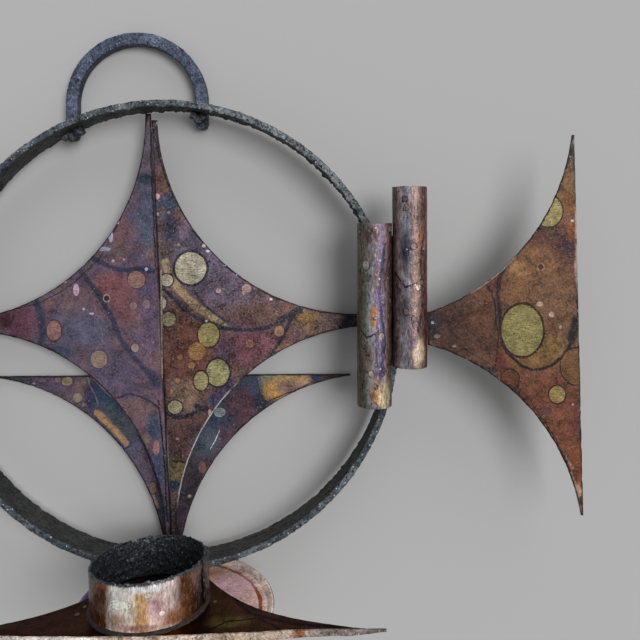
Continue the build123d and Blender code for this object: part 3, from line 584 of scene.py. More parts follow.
tailMarks = {
    "patches": (
        (208.1, -50.6, 3.7, 6.5, 0.4, (129, 132, 131)), (207.7, -59.9, 4.6, 6.5, 0.5, (85, 78, 71)),
        (205.4, -71.4, 6.5, 11.1, 0.5, (103, 78, 52)), (207.2, -80.2, 3.2, 6.5, 0.6, (114, 81, 42)),
        (198.4, -95.0, 11.1, 6.5, 0.5, (82, 56, 46)), (206.3, -101.4, 5.5, 7.4, 0.6, (58, 38, 49)),
        (207.2, -92.7, 1.7, 4.2, 0.6, (128, 78, 37)), (210.0, -110.7, 2.3, 10.2, 0.6, (90, 56, 66)),
        (190.6, -114.4, 13.9, 13.9, 0.5, (124, 92, 62)), (197.5, -124.5, 10.2, 12.0, 0.6, (116, 90, 66)),
        (182.7, -109.8, 4.6, 4.6, 0.6, (134, 104, 72)), (172.6, -116.2, 2.8, 3.7, 0.45, (115, 57, 52)),
        (174.0, -126.8, 1.7, 5.5, 0.5, (126, 77, 61)), (158.7, -136.1, 15.7, 15.7, 0.5, (88, 63, 57)),
        (149.5, -134.7, 7.4, 7.4, 0.6, (76, 53, 53)), (165.2, -129.2, 5.5, 10.2, 0.7, (104, 74, 59)),
        (143.0, -136.1, 3.7, 6.5, 0.5, (43, 47, 59)), (175.3, -150.9, 2.8, 5.5, 0.5, (112, 54, 58)),
        (192.0, -148.6, 13.9, 8.3, 0.45, (130, 108, 62)), (203.1, -131.5, 5.5, 7.4, 0.6, (110, 86, 62)),
        (195.2, -168.4, 15.7, 12.9, 0.5, (133, 87, 68)), (206.8, -180.0, 6.5, 9.2, 0.6, (122, 73, 66)),
        (200.3, -184.6, 6.5, 10.2, 0.6, (143, 94, 68)), (209.1, -200.8, 4.6, 12.0, 0.5, (143, 90, 62)),
        (210.5, -217.9, 3.2, 7.4, 0.45, (220, 194, 161)), (179.0, -170.7, 9.2, 4.6, 0.6, (112, 71, 68)),
    ),
    "veins": (
        (3.7, 0.4, (31, 47, 56), ((181.8, -101.4), (178.1, -105.6), (175.3, -110.7))),
        (2.31, 0.4, (32, 36, 48), ((176.3, -107.9), (174.0, -114.4), (173.3, -122.7), (174.4, -132.9))),
        (1.66, 0.4, (32, 24, 36), ((174.4, -132.9), (174.7, -142.1), (177.7, -148.6), (182.7, -153.6),
         (188.7, -156.6), (195.7, -156.0), (201.2, -152.7), (204.9, -148.1), (207.2, -143.5))),
        (4.16, 0.4, (27, 32, 44), ((207.2, -143.5), (209.1, -133.8))),
        (1.39, 0.6, (27, 30, 41), ((209.5, -124.5), (210.5, -132.9))),
        (0.88, 0.4, (32, 24, 32), ((167.5, -116.7), (170.3, -120.4), (171.9, -126.4), (172.3, -133.8),
         (173.5, -141.2), (173.0, -148.6), (171.9, -155.5))),
        (1.02, 0.5, (34, 26, 34), ((200.3, -152.3), (204.9, -148.6), (210.5, -145.8))),
        (1.85, 0.7, (46, 44, 60), ((142.1, -148.6), (153.6, -151.3), (164.3, -155.0), (172.6, -156.9))),
        (0.69, 0.5, (28, 22, 28), ((140.7, -129.6), (151.3, -125.9), (164.3, -118.5), (176.7, -108.8),
         (188.3, -95.9), (198.0, -79.7), (204.9, -62.2), (208.6, -46.0))),
        (0.55, 0.6, (60, 44, 52), ((140.7, -142.1), (155.9, -145.8), (174.4, -156.9), (188.3, -170.7),
         (200.3, -189.2), (207.7, -205.4), (212.8, -221.6))),
        (1.2, 0.7, (150, 128, 116), ((208.8, -50.6), (209.5, -78.3), (210.0, -93.1))),
        (2.03, 0.4, (150, 138, 132), ((209.8, -103.3), (209.5, -111.6), (210.5, -120.8))),
        (1.11, 0.5, (160, 150, 146), ((211.4, -124.5), (210.9, -132.9), (211.8, -145.3))),
        (0.83, 0.6, (46, 32, 38), ((211.4, -152.3), (211.8, -180.0), (212.3, -203.1))),
        (0.65, 0.5, (180, 118, 84), ((204.9, -193.4), (210.5, -191.5))),
        (0.92, 0.6, (196, 170, 150), ((207.2, -204.0), (211.4, -216.9))),
        (1.02, 0.6, (186, 160, 142), ((204.9, -196.6), (207.7, -202.1))),
        (1.39, 0.8, (92, 92, 92), ((196.1, -89.9), (199.4, -88.5), (202.1, -86.2))),
    ),
    "spots": (
        (184.6, -138.4, 9.5, 11.8, 1.02, (152, 152, 98), (46, 30, 30)),
        (196.6, -83.4, 6.6, 7.1, 0.55, (137, 135, 85), (34, 26, 34)),
        (209.5, -155.0, 7.2, 8.3, 0.65, (126, 98, 60), (42, 30, 34)),
        (200.7, -168.0, 3.7, 3.9, 0.6, (188, 177, 115), (52, 36, 40)),
        (179.0, -161.0, 4.0, 4.4, 0.55, (126, 88, 66), (56, 34, 40)),
        (193.1, -109.3, 1.3, 1.3, 0.37, (72, 62, 48), (158, 134, 100)),
        (192.7, -126.2, 1.5, 1.1, 0.09, (190, 172, 164), (120, 92, 70)),
        (198.2, -131.2, 1.2, 1.4, 0.09, (190, 172, 164), (120, 92, 70)),
        (202.2, -136.8, 0.7, 0.9, 0.09, (170, 150, 140), (120, 92, 70)),
        (145.3, -141.2, 1.4, 0.9, 0.14, (150, 140, 146), (60, 56, 70)),
        (143.2, -134.9, 0.7, 0.7, 0.09, (190, 200, 214), (46, 50, 66)),
        (153.2, -145.8, 1.1, 0.6, 0.09, (160, 150, 150), (60, 50, 56)),
        (207.9, -172.6, 0.6, 0.6, 0.09, (238, 205, 188), (104, 62, 60)),
        (207.7, -88.0, 0.8, 0.7, 0.09, (194, 171, 166), (100, 70, 50)),
        (196.1, -175.8, 2.3, 1.8, 0.23, (115, 79, 82), (130, 96, 82)),
    ),
}

starLook = {"ground": ((100, 76, 88), (88, 74, 94), (112, 82, 86)), "broad": 0.05, "waver": 0.75,
            "grainScale": 1.05, "grain": 3.0, "warm": (150, 124, 120), "warmAmount": 0.25, "metallic": 0.7,
            "rough": 0.46, "bump": 0.35, "edgeDark": (34, 26, 30), "edgeBright": (140, 126, 120), "chips": 0.1,
            "level": (1.24, 1.42, 1.42), "pale": (),
            "flecks": ((0.42, 0.14, 0.2, (150, 128, 128)), (0.8, 0.24, 0.3, (54, 46, 58)),
                       (1.0, 0.22, 0.2, (168, 150, 146)))}
starLeft = plateMaterial("starLeftCopper", starLeftMarks, starLook)
# the right plate's pale area lies along its lower right cut edge: lighter filed metal with a painted highlight
starRight = plateMaterial("starRightCopper", starRightMarks, dict(
    starLook, ground=((96, 66, 66), (86, 64, 74), (108, 72, 62)), warm=(176, 136, 98), warmAmount=0.42,
    grain=4.8, level=(0.84, 0.98, 1.04), edgeBright=(184, 176, 166), pale=(((40, 0, -202), (27, 1, 42)),)))
rearStar = plateMaterial("rearStarCopper", rearStarMarks, dict(
    starLook, ground=((80, 62, 72), (72, 60, 78), (92, 70, 76)), grain=3.4, level=(0.98, 1.14, 1.16)))
tailLook = dict(starLook, ground=((106, 76, 62), (96, 68, 64), (120, 88, 62)), warm=(172, 134, 92),
                warmAmount=0.4, grain=4.0, chips=0.35, level=(0.5, 0.44, 0.42), edgeBright=(176, 166, 156),
                pale=(((212, 0, -98), (5, 1, 26)), ((166, 0, -110), (22, 1, 14))))
tailRight = plateMaterial("tailRightCopper", tailMarks, tailLook)
tailLeft = plateMaterial("tailLeftCopper", tailMarks, tailLook, turn=(-1, 1, -1), shift=(33.4, 0, -272.2))
print("plate materials made")

# shelf, seen from just above: x and y in place of x and z
shelfMarks = {
    "patches": ((66.0, -60.0, 30.0, 14.0, 0.7, (60, 36, 24)), (-30.0, -62.0, 30.0, 12.0, 0.7, (52, 30, 24)),
                (53.0, -63.5, 8.0, 4.0, 0.6, (92, 80, 34)), (18.0, -30.0, 24.0, 16.0, 0.7, (40, 24, 26)),
                (-55.0, -70.0, 12.0, 4.0, 0.6, (88, 58, 44)), (96.0, -70.0, 12.0, 4.0, 0.6, (70, 44, 36))),
    "veins": ((2.2, 0.6, (16, 14, 24), ((50, -40), (62, -58), (80, -68), (104, -72))),
              (1.6, 0.6, (16, 12, 20), ((-20, -40), (-32, -60), (-52, -71))),
              (1.4, 0.5, (14, 10, 18), ((44, -72), (52, -64), (66, -62), (76, -72)))),
    "spots": ((-12.0, -55.8, 1.0, 1.3, 0.5, (110, 92, 72), (20, 10, 8)),
              (-10.8, -49.8, 0.8, 1.1, 0.4, (120, 100, 80), (20, 10, 8)),
              (45.5, -48.0, 0.9, 1.2, 0.4, (110, 92, 60), (20, 10, 8)),
              (20.0, -18.0, 6.0, 5.0, 0.7, (90, 74, 46), (24, 14, 12)))}
shelfLook = dict(starLook, ground=((46, 22, 10), (32, 13, 6), (60, 32, 14)), warm=(92, 54, 34), warmAmount=0.3,
                 rough=0.3, grain=4.5, broad=0.07, chips=0.1, edgeBright=(150, 110, 84), edgeDark=(24, 12, 8),
                 metallic=0.97, sheen=(236, 216, 200), level=(1.08, 1.25, 1.8),
                 flecks=((0.6, 0.2, 0.25, (84, 58, 40)),))
shelfCopper = plateMaterial("shelfCopper", shelfMarks, shelfLook, upright=False)


rolledSurface = {"stainScale": 0.5, "stain": 0.3, "dentScale": 0.45, "dentRough": 0.6, "dent": 1.6,
                 "depth": 0.3}


def rolledMaterial(name, look, centre, radius):
    material, tree, shader = newMaterial(name)
    spread = use(tree, rolledPlace, Centre=centre, Radius=radius, Waver=look["waver"])
    free = spread["Free"]
    # the bands go round the axis; on the cup and the tubes they hold the copper's own streaks and also a
    # painted reflection: lighter towards the front or in a highlight band, darker at the sides
    ramp = add(tree, "ShaderNodeValToRGB", {0: spread["Turn"]})
    stops = ramp.color_ramp.elements
    for i, (spot, shade) in enumerate(look["patinaAndReflectionBands"]):
        stop = stops[i] if i < 2 else stops.new(spot)
        stop.position, stop.color = spot, tone(shade)
    tint = fade(tree, cloud(tree, free, 0.12, 4), 0.46, 0.68, 0.0, look["tintShare"])
    colour = mixed(tree, tint, ramp.outputs[0], tone(look["tint"]))
    colour = paintMarks(tree, colour, look["marks"], spread["Place"], spread["Near"])[0]
    long = add(tree, "ShaderNodeMapping", {"Vector": free, "Scale": (1, 1, 0.35)}).outputs[0]
    grained = paintGrain(tree, colour, long, look, look["grain"], look["warmAmount"])
    colour = paintFlecks(tree, grained["Colour"], free, look["flecks"])
    if "crust" in look:
        crust = add(tree, "ShaderNodeAttribute", attribute_name="crust").outputs["Fac"]
        ragged = fade(tree, sums(tree, "MULTIPLY_ADD", cloud(tree, free, 0.8, 4, 0.7), 0.9, crust), 0.75, 1.1)
        dark, pale, ash = look["crust"]
        burnt = mixed(tree, fade(tree, cloud(tree, free, 1.1, 4, 0.7), 0.4, 0.66), tone(dark), tone(pale))
        burnt = paintFlecks(tree, burnt, free, ((0.6, 0.3, 0.22, ash), (1.3, 0.32, 0.16, ash)))
        colour = mixed(tree, ragged, colour, burnt)
    join(tree, shader.inputs["Base Color"], mixed(tree, 1.0, colour, look["level"] + (1,), "MULTIPLY"))
    finishShader(tree, shader, look, free, grained["Height"], rolledSurface)
    return material


# rough materials from grain and flecks, with rings, areas and a lighter front where the look has them; the
# lighter front is partly the metal's own colour and partly painted light
roughSurface = {"stainScale": 0.6, "stain": 0.3, "dentScale": 0.9, "dentRough": 0.65, "dent": 1.5, "depth": 0.5}


def roughMaterial(name, look):
    material, tree, shader = newMaterial(name)
    free = millimetres(tree)
    first = fade(tree, cloud(tree, free, look["broad"], 4), 0.4, 0.62)
    second = fade(tree, cloud(tree, free, look["broad"] * 4, 4, 0.7), 0.45, 0.66)

    def threeTones(shades, areas):
        base = paintAreas(tree, mixed(tree, first, tone(shades[0]), tone(shades[1])), free, areas)
        return mixed(tree, second, base, tone(shades[2]))

    colour = threeTones(look["ground"], ())
    for centre, radius, width, shade in look.get("rings", ()):
        # a band all round at one distance from the axis
        flat = vectors(tree, "MULTIPLY", vectors(tree, "SUBTRACT", free, centre), (1, 1, 0))
        waved = sums(tree, "MULTIPLY_ADD", cloud(tree, free, 0.25, 3), 2.4, -1.2 - radius)
        away = sums(tree, "ABSOLUTE", sums(tree, "ADD", vectors(tree, "LENGTH", flat, out=1), waved))
        colour = use(tree, veinColour, Colour=colour, Away=away, Full=width * 0.3, Bare=width * 0.7,
                     Tone=tone(shade))["Colour"]
    colour = paintAreas(tree, colour, free, look.get("areas", ()))
    if "front" in look:
        # faces towards the front get a lighter copy of the tones, partly their own colour and partly painted
        # light; the flecks, partly painted glints, are mostly there
        facing = vectors(tree, "DOT_PRODUCT", add(tree, "ShaderNodeTexCoord").outputs["Normal"], (0, -1, 0),
                         out=1)
        rubbedAndLit = threeTones(look["front"], look.get("frontAreas", ()))
        colour = mixed(tree, fade(tree, facing, 0.35, 0.8), colour, rubbedAndLit)
    grained = paintGrain(tree, colour, free, look, look["grain"], look["warmAmount"])
    colour = paintFlecks(tree, grained["Colour"], free, look["flecks"])
    if "front" in look:
        colour = mixed(tree, fade(tree, facing, 0.2, 0.6, 0.12, 1.0), grained["Colour"], colour)
    join(tree, shader.inputs["Base Color"], colour)
    finishShader(tree, shader, look, free, grained["Height"], roughSurface)
    return material


iron = roughMaterial("forgedIron", {
    "ground": ((40, 42, 42), (52, 53, 52), (24, 25, 26)),
    # front: lighter tones for faces towards the front, partly the iron's own colour and partly painted light
    "front": ((72, 80, 90), (104, 111, 116), (44, 49, 57)),
    "frontAreas": (((80, -14, -52), (62, 40, 62), (122, 130, 134)),),
    "broad": 0.1, "grainScale": 0.9, "grain": 5.0,
    "warm": (120, 122, 122), "warmAmount": 0.3, "metallic": 0.5, "rough": 0.5, "bump": 0.8,
    "flecks": ((0.6, 0.34, 0.4, (24, 25, 27)), (0.55, 0.28, 0.3, (150, 162, 172)),
               (1.0, 0.32, 0.22, (196, 204, 210)), (0.35, 0.2, 0.18, (128, 112, 86)))})
hangerIron = roughMaterial("hangerIron", {
    # front: lighter tones for faces towards the front, partly the bar's own colour and partly painted light
    "ground": ((48, 52, 62), (60, 64, 78), (28, 30, 36)), "front": ((66, 78, 96), (84, 94, 114), (50, 54, 76)),
    "broad": 0.1, "grainScale": 0.9, "grain": 4.2,
    "warm": (132, 140, 152), "warmAmount": 0.35, "metallic": 0.55, "rough": 0.46, "bump": 0.6,
    "flecks": ((0.6, 0.3, 0.35, (30, 34, 44)), (0.7, 0.26, 0.3, (140, 156, 180)),
               (1.1, 0.3, 0.15, (182, 190, 204)))})
solder = roughMaterial("solder", {
    "ground": ((70, 66, 64), (112, 104, 96), (48, 42, 42)), "broad": 0.3, "grainScale": 1.2, "grain": 1.2,
    "warm": (170, 156, 136), "warmAmount": 0.4, "metallic": 0.8, "rough": 0.42, "bump": 0.6,
    "flecks": ((0.7, 0.24, 0.25, (206, 200, 190)), (0.9, 0.2, 0.25, (34, 28, 30)))})
ridgeSolder = roughMaterial("ridgeSolder", {
    "ground": ((128, 112, 96), (150, 136, 118), (70, 58, 54)), "broad": 0.12, "grainScale": 1.0, "grain": 1.8,
    "warm": (190, 176, 150), "warmAmount": 0.4, "metallic": 0.6, "rough": 0.42, "bump": 0.4,
    "flecks": ((0.7, 0.24, 0.25, (206, 200, 186)), (0.9, 0.24, 0.3, (40, 32, 34)))})
braze = roughMaterial("darkBraze", {
    "ground": ((44, 40, 40), (66, 56, 50), (28, 26, 28)), "broad": 0.3, "grainScale": 1.2, "grain": 1.2,
    "warm": (120, 92, 66), "warmAmount": 0.4, "metallic": 0.7, "rough": 0.48, "bump": 0.8,
    "flecks": ((0.6, 0.24, 0.2, (150, 136, 110)),)})
dishCopper = roughMaterial("dishCopper", {
    "ground": ((232, 196, 192), (214, 178, 178), (240, 190, 160)), "broad": 0.07, "grainScale": 1.0,
    "grain": 2.6, "warm": (244, 176, 120), "warmAmount": 0.4, "metallic": 0.25, "rough": 0.34, "bump": 0.3,
    # rings round the dish: a dark amber line inside the rim, two pale rings on the rim that are partly its own
    # pale metal and partly a painted highlight, and a darker outer edge
    "rings": (((27.5, -44.2, 0), 37.4, 1.6, (128, 66, 24)), ((27.5, -44.2, 0), 40.2, 1.4, (236, 214, 204)),
              ((27.5, -44.2, 0), 42.2, 1.8, (248, 230, 220)), ((27.5, -44.2, 0), 43.6, 0.8, (126, 96, 88))),
    "areas": (((-16, -44, -258), (9, 40, 30), (120, 108, 160)), ((34, -16, -262), (14, 9, 9), (240, 176, 130)),
              ((48, -26, -262), (14, 12, 9), (214, 176, 184))),
    "flecks": ((0.3, 0.2, 0.3, (226, 150, 96)), (0.6, 0.2, 0.2, (150, 104, 104)),
               (0.5, 0.16, 0.2, (244, 226, 214)))})
stripCopper = roughMaterial("stripCopper", {
    "ground": ((226, 214, 200), (198, 180, 166), (150, 130, 118)), "broad": 0.07,
    "grainScale": 0.8, "grain": 4.0,
    "areas": (((-20, -73, -256), (26, 9, 9), (236, 228, 218)), ((66, -73, -254), (18, 9, 9), (190, 168, 150)),
              ((98, -73, -253), (12, 9, 9), (128, 116, 110)),
              ((116, -73, -252), (12, 9, 9), (92, 86, 86)), ((83, -73, -253), (3.4, 9, 4), (156, 100, 70))),
    "warm": (232, 204, 168), "warmAmount": 0.4, "metallic": 0.45, "rough": 0.4, "bump": 0.4,
    "flecks": ((0.3, 0.24, 0.3, (160, 96, 62)), (0.6, 0.24, 0.3, (96, 76, 68)),
               (0.5, 0.24, 0.3, (240, 234, 226)))})
print("other materials made")


# mesh helpers
def copyOf(node):
    bm = bmesh.new()
    bm.from_mesh(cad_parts[node].data)
    bmesh.ops.remove_doubles(bm, verts=bm.verts, dist=0.002 * mm)
    bmesh.ops.scale(bm, vec=(1 / mm,) * 3, verts=bm.verts)
    return bm


def cutAcross(bm, direction, step, offset=0.35):
    # cuts the whole mesh square to a direction, at even steps
    reach = [v.co.dot(direction) for v in bm.verts]
    low, count = min(reach), int((max(reach) - min(reach)) / step)
    for i in range(1, count + 1):
        at = Vector(direction) * (low + step * (i - offset))
        bmesh.ops.bisect_plane(bm, geom=bm.verts[:] + bm.edges[:] + bm.faces[:], dist=0.0001,
                               plane_co=at, plane_no=direction)


def spinSection(corners, rounding, centre, axis, steps, cut, angle=2 * pi):
    # a closed section spun round an axis: corners are its points
    bm = bmesh.new()
    bm.faces.new([bm.verts.new(c) for c in corners])
    bmesh.ops.bevel(bm, geom=bm.verts[:], offset=rounding, offset_type="OFFSET", affect="VERTICES",
                    segments=3, profile=0.5, material=-1)
    for edge in [e for e in bm.edges if e.calc_length() > cut]:
        bmesh.ops.subdivide_edges(bm, edges=[edge], cuts=int(edge.calc_length() / cut))
    bmesh.ops.delete(bm, geom=bm.faces[:], context="FACES_ONLY")
    whole = angle > 2 * pi - 0.001
    bmesh.ops.spin(bm, geom=bm.verts[:] + bm.edges[:], cent=centre, axis=axis, angle=angle,
                   steps=steps, use_merge=whole)
    bmesh.ops.remove_doubles(bm, verts=bm.verts, dist=0.01)
    return bm


def ripple(point, size, seed=0.0, detail=4):
    # soft noise round zero
    return noise.fractal(Vector(point) / size + Vector((seed, seed * 0.7, 0)), 0.6, 2.0, detail)


def clamped(value):
    return max(0.0, min(1.0, value))


def shiftAll(bm, moves):
    for v, move in zip(bm.verts, moves):
        v.co += move


def roughen(bm, height, size, seed=0.0, where=None):
    # moves the surface in and out by a soft noise; where gives each point's share
    bmesh.ops.recalc_face_normals(bm, faces=bm.faces)
    bm.normal_update()
    shiftAll(bm, [v.normal * (ripple(v.co, size, seed) * height * (where(v.co) if where else 1))
                  for v in bm.verts])


def addPiece(name, bm, node, material, bevel=0.0):
    bmesh.ops.recalc_face_normals(bm, faces=bm.faces)
    bmesh.ops.scale(bm, vec=(mm,) * 3, verts=bm.verts)
    for face in bm.faces:
        face.smooth = True
    mesh = bpy.data.meshes.new(name)
    bm.to_mesh(mesh)
    bm.free()
    mesh.materials.append(material)
    piece = bpy.data.objects.new(name, mesh)
    bpy.context.scene.collection.objects.link(piece)
    if bevel:
        softened = piece.modifiers.new("softEdge", "BEVEL")
        softened.width = bevel * mm
        softened.segments = 2
        softened.limit_method = "ANGLE"
        softened.angle_limit = radians(40)
        softened.harden_normals = True
    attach(piece, "root")
    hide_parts(node)


# hoop: flat strip with a rough scale skin and drops of weld inside
hoop = {"x": 16.7, "z": -142.4, "outer": 112.1, "inner": 108.9, "back": -6.0, "front": -22.0,
        "round": 0.7, "skin": 0.3, "skinSize": 2.6, "lump": 1.5, "lumpSize": 2.4, "lumpLeast": 0.08,
        "bare": 1.2, "patchSize": 60, "patchLift": 0.35, "patchMost": 1.2, "steps": 900, "cut": 0.75}


def makeHoop(settings):
    middle = Vector((settings["x"], 0, settings["z"]))
    sides = ((settings["inner"], settings["back"]), (settings["outer"], settings["back"]),
             (settings["outer"], settings["front"]), (settings["inner"], settings["front"]))
    corners = [middle + Vector((r, y, 0)) for r, y in sides]
    bm = spinSection(corners, settings["round"], middle, (0, 1, 0), settings["steps"], settings["cut"])
    roughen(bm, settings["skin"], settings["skinSize"])
    for v in bm.verts:
        out = Vector((v.co.x, 0, v.co.z)) - middle
        inward = clamped((settings["outer"] - settings["bare"] - out.length) / settings["bare"])
        patch = max(0.0, ripple(out, settings["patchSize"], 5.0, 2) + settings["patchLift"])
        lump = max(0.0, ripple(v.co, settings["lumpSize"], 9.0, 2) - settings["lumpLeast"])
        v.co -= out.normalized() * (lump * settings["lump"] * inward * min(settings["patchMost"], patch))
    addPiece("hoopRing", bm, "hoop", iron)


makeHoop(hoop)
print("hoop done")

# hanger: square bar bent round, with rounded leg ends
hanger = {"bar": 6.0, "inner": 29.3, "leftLeg": 15.4, "rightLeg": 9.8, "round": 0.8, "skin": 0.22,
          "skinSize": 3.0, "calmBack": 1.5, "top": 6.0, "steps": 110, "cut": 0.9,
          "endDrops": (0.45, 0.3, 0.17, 0.08), "endWidths": (0.9, 0.84, 0.7, 0.45)}


def makeHanger(settings):
    half = settings["bar"] / 2
    centre = Vector((0, -half, -settings["inner"]))
    left = Vector((-settings["inner"] - half, -half, -settings["inner"]))
    corners = [left + Vector((a * half, b * half, 0)) for a, b in ((-1, -1), (1, -1), (1, 1), (-1, 1))]
    bm = spinSection(corners, settings["round"], centre, (0, 1, 0), settings["steps"], settings["cut"], pi)
    for side, leg in ((-1, settings["leftLeg"]), (1, settings["rightLeg"])):
        rim = [e for e in bm.edges if e.is_boundary and e.verts[0].co.x * side > 0
               and abs(e.verts[0].co.z - centre.z) < 0.01]
        steps = int(leg)
        pulls = [(leg / steps, 1.0)] * steps + [(half * d, w) for d, w in
                                                zip(settings["endDrops"], settings["endWidths"])]
        for drop, width in pulls:
            grown = bmesh.ops.extrude_edge_only(bm, edges=rim)["geom"]
            ends = [v for v in grown if isinstance(v, bmesh.types.BMVert)]
            rim = [e for e in grown if isinstance(e, bmesh.types.BMEdge) and e.is_boundary]
            bmesh.ops.translate(bm, vec=(0, 0, -drop), verts=ends)
            middle = Vector((side * (settings["inner"] + half), 0, 0))
            bmesh.ops.scale(bm, vec=(width, 1, 1), verts=ends, space=Matrix.Translation(-middle))
        bmesh.ops.contextual_create(bm, geom=rim)
    roughen(bm, settings["skin"], settings["skinSize"], 3.0,
            lambda place: min(1.0, -place.y / settings["calmBack"]) if place.y < 0 else 0)
    for v in bm.verts:
        v.co.z = min(v.co.z, settings["top"])
        v.co.y = min(v.co.y, 0.0)
    addPiece("hangerBar", bm, "hanger_loop", hangerIron)


makeHanger(hanger)

# lumps of weld where the legs meet the hoop: place, radius
welds = {"lump": 0.9, "lumpSize": 2.2, "smooth": 4, "back": -6.1,
         "left": (((-31.0, -9.4, -45.4), 3.4), ((-26.6, -11.6, -43.8), 2.8), ((-33.2, -11.0, -46.6), 2.0)),
         "right": (((31.4, -8.8, -37.6), 2.6), ((33.6, -10.6, -37.0), 1.9), ((29.4, -11.4, -36.4), 1.7))}


def makeWeld(name, node, lumps):
    bm = bmesh.new()
    for place, radius in lumps:
        bmesh.ops.create_icosphere(bm, subdivisions=welds["smooth"], radius=radius,
                                   matrix=Matrix.Translation(place))
    roughen(bm, welds["lump"], welds["lumpSize"], 7.0)
    for v in bm.verts:
        v.co.y = min(v.co.y, welds["back"])
    addPiece(name, bm, node, iron)


makeWeld("weldLeft", "hanger_weld_left", welds["left"])
makeWeld("weldRight", "hanger_weld_right", welds["right"])
print("hanger done")

# plates: copies of the solids, cut into a fine grid, gently wavy, with nibbled edges
plates = {"step": 2.2, "wave": 0.3, "waveSize": 30.0, "calmEdge": 9.0, "calmLeast": 0.15, "nibble": 0.22,
          "nibbleSize": 2.4, "nibbleLift": 0.1, "rimSlope": 0.5, "bevel": 0.16, "sample": 0.6}


def makePlate(name, node, material, nibble, seed, up=(0, 0, 1), bend=None):
    bm = copyOf(node)
    broad = max(bm.faces, key=lambda f: f.calc_area()).normal.copy()
    for direction in ((1, 0, 0), up):
        cutAcross(bm, Vector(direction), plates["step"])
    bm.normal_update()
    rims = [f for f in bm.faces if abs(f.normal.dot(broad)) < plates["rimSlope"]]
    points = []
    for face in rims:
        for edge in face.edges:
            start, end = edge.verts[0].co, edge.verts[1].co
            count = max(1, int((end - start).length / plates["sample"]))
            points += [start.lerp(end, i / count) for i in range(count + 1)]
    tree = KDTree(len(points))
    for i, point in enumerate(points):
        tree.insert(point, i)
    tree.balance()
    layer = bm.verts.layers.float.new("edgeAway")
    outward = {}
    for face in rims:
        for v in face.verts:
            outward[v] = outward.get(v, Vector()) + face.normal
    moves = []
    for v in bm.verts:
        away = 0.0 if v in outward else tree.find(v.co)[2]
        v[layer] = away
        calm = min(1.0, away / plates["calmEdge"] + plates["calmLeast"])
        move = broad * (ripple(v.co, plates["waveSize"], seed, 2) * plates["wave"] * calm)
        if v in outward:
            flat = v.co - broad * v.co.dot(broad)
            bite = max(0.0, ripple(flat, plates["nibbleSize"], seed, 3) + plates["nibbleLift"])
            move -= outward[v].normalized() * (bite * plates["nibble"] * nibble)
        moves.append(move)
    shiftAll(bm, moves)
    if bend:
        shiftAll(bm, [bend(v.co) for v in bm.verts])
    addPiece(name, bm, node, material, plates["bevel"])


makePlate("starLeftPlate", "star_plate_left", starLeft, 1.0, 0.0)
makePlate("starRightPlate", "star_plate_right", starRight, 1.0, 4.0)
makePlate("rearStarPlate", "rear_half_star", rearStar, 1.0, 8.0)
makePlate("tailRightPlate", "tail_plate_right", tailRight, 1.5, 12.0)
makePlate("tailLeftPlate", "tail_plate_left", tailLeft, 1.5, 16.0)

# the shelf's front edge bows up towards both ends, which are thin and a little short
bow = {"middle": 20.2, "thin": ((0, 0), (40, 0.0), (60, 0.6), (68, 1.05), (93, 1.1), (100, 1.6)),
       "lift": ((0, -0.3), (20, 0.0), (35, 0.4), (47, 0.6), (57, 1.1), (75, 1.2), (88, 1.0), (100, 0.8)),
       "shortFrom": 80, "short": 0.11, "backFrom": -50.0, "backReach": 18.0, "stripTop": (-254.355, 0.02096),
       "stripHeight": 3.26}


def between(table, value):
    # the height of a broken line at a value
    for (low, first), (high, second) in zip(table, table[1:]):
        if value <= high:
            return first + (second - first) * (value - low) / (high - low)
    return table[-1][1]


def bowShelf(point):
    side = point.x - bow["middle"]
    share = clamped((bow["backFrom"] - point.y) / bow["backReach"])
    extra = max(0.0, abs(side) - bow["shortFrom"]) * bow["short"]
    return Vector((-extra if side > 0 else extra, 0, between(bow["lift"], abs(side)) * share))


def bowStrip(point):
    side = point.x - bow["middle"]
    level, rise = bow["stripTop"]
    share = clamped((level + rise * side - point.z) / bow["stripHeight"])
    return bowShelf(point) + Vector((0, 0, between(bow["thin"], abs(side)) * share))


makePlate("shelfSheet", "shelf_plate", shelfCopper, 1.0, 20.0, up=(0, 1, 0), bend=bowShelf)
makePlate("edgeStrip", "shelf_edge_strip", stripCopper, 1.4, 24.0, bend=bowStrip)
print("plates done")

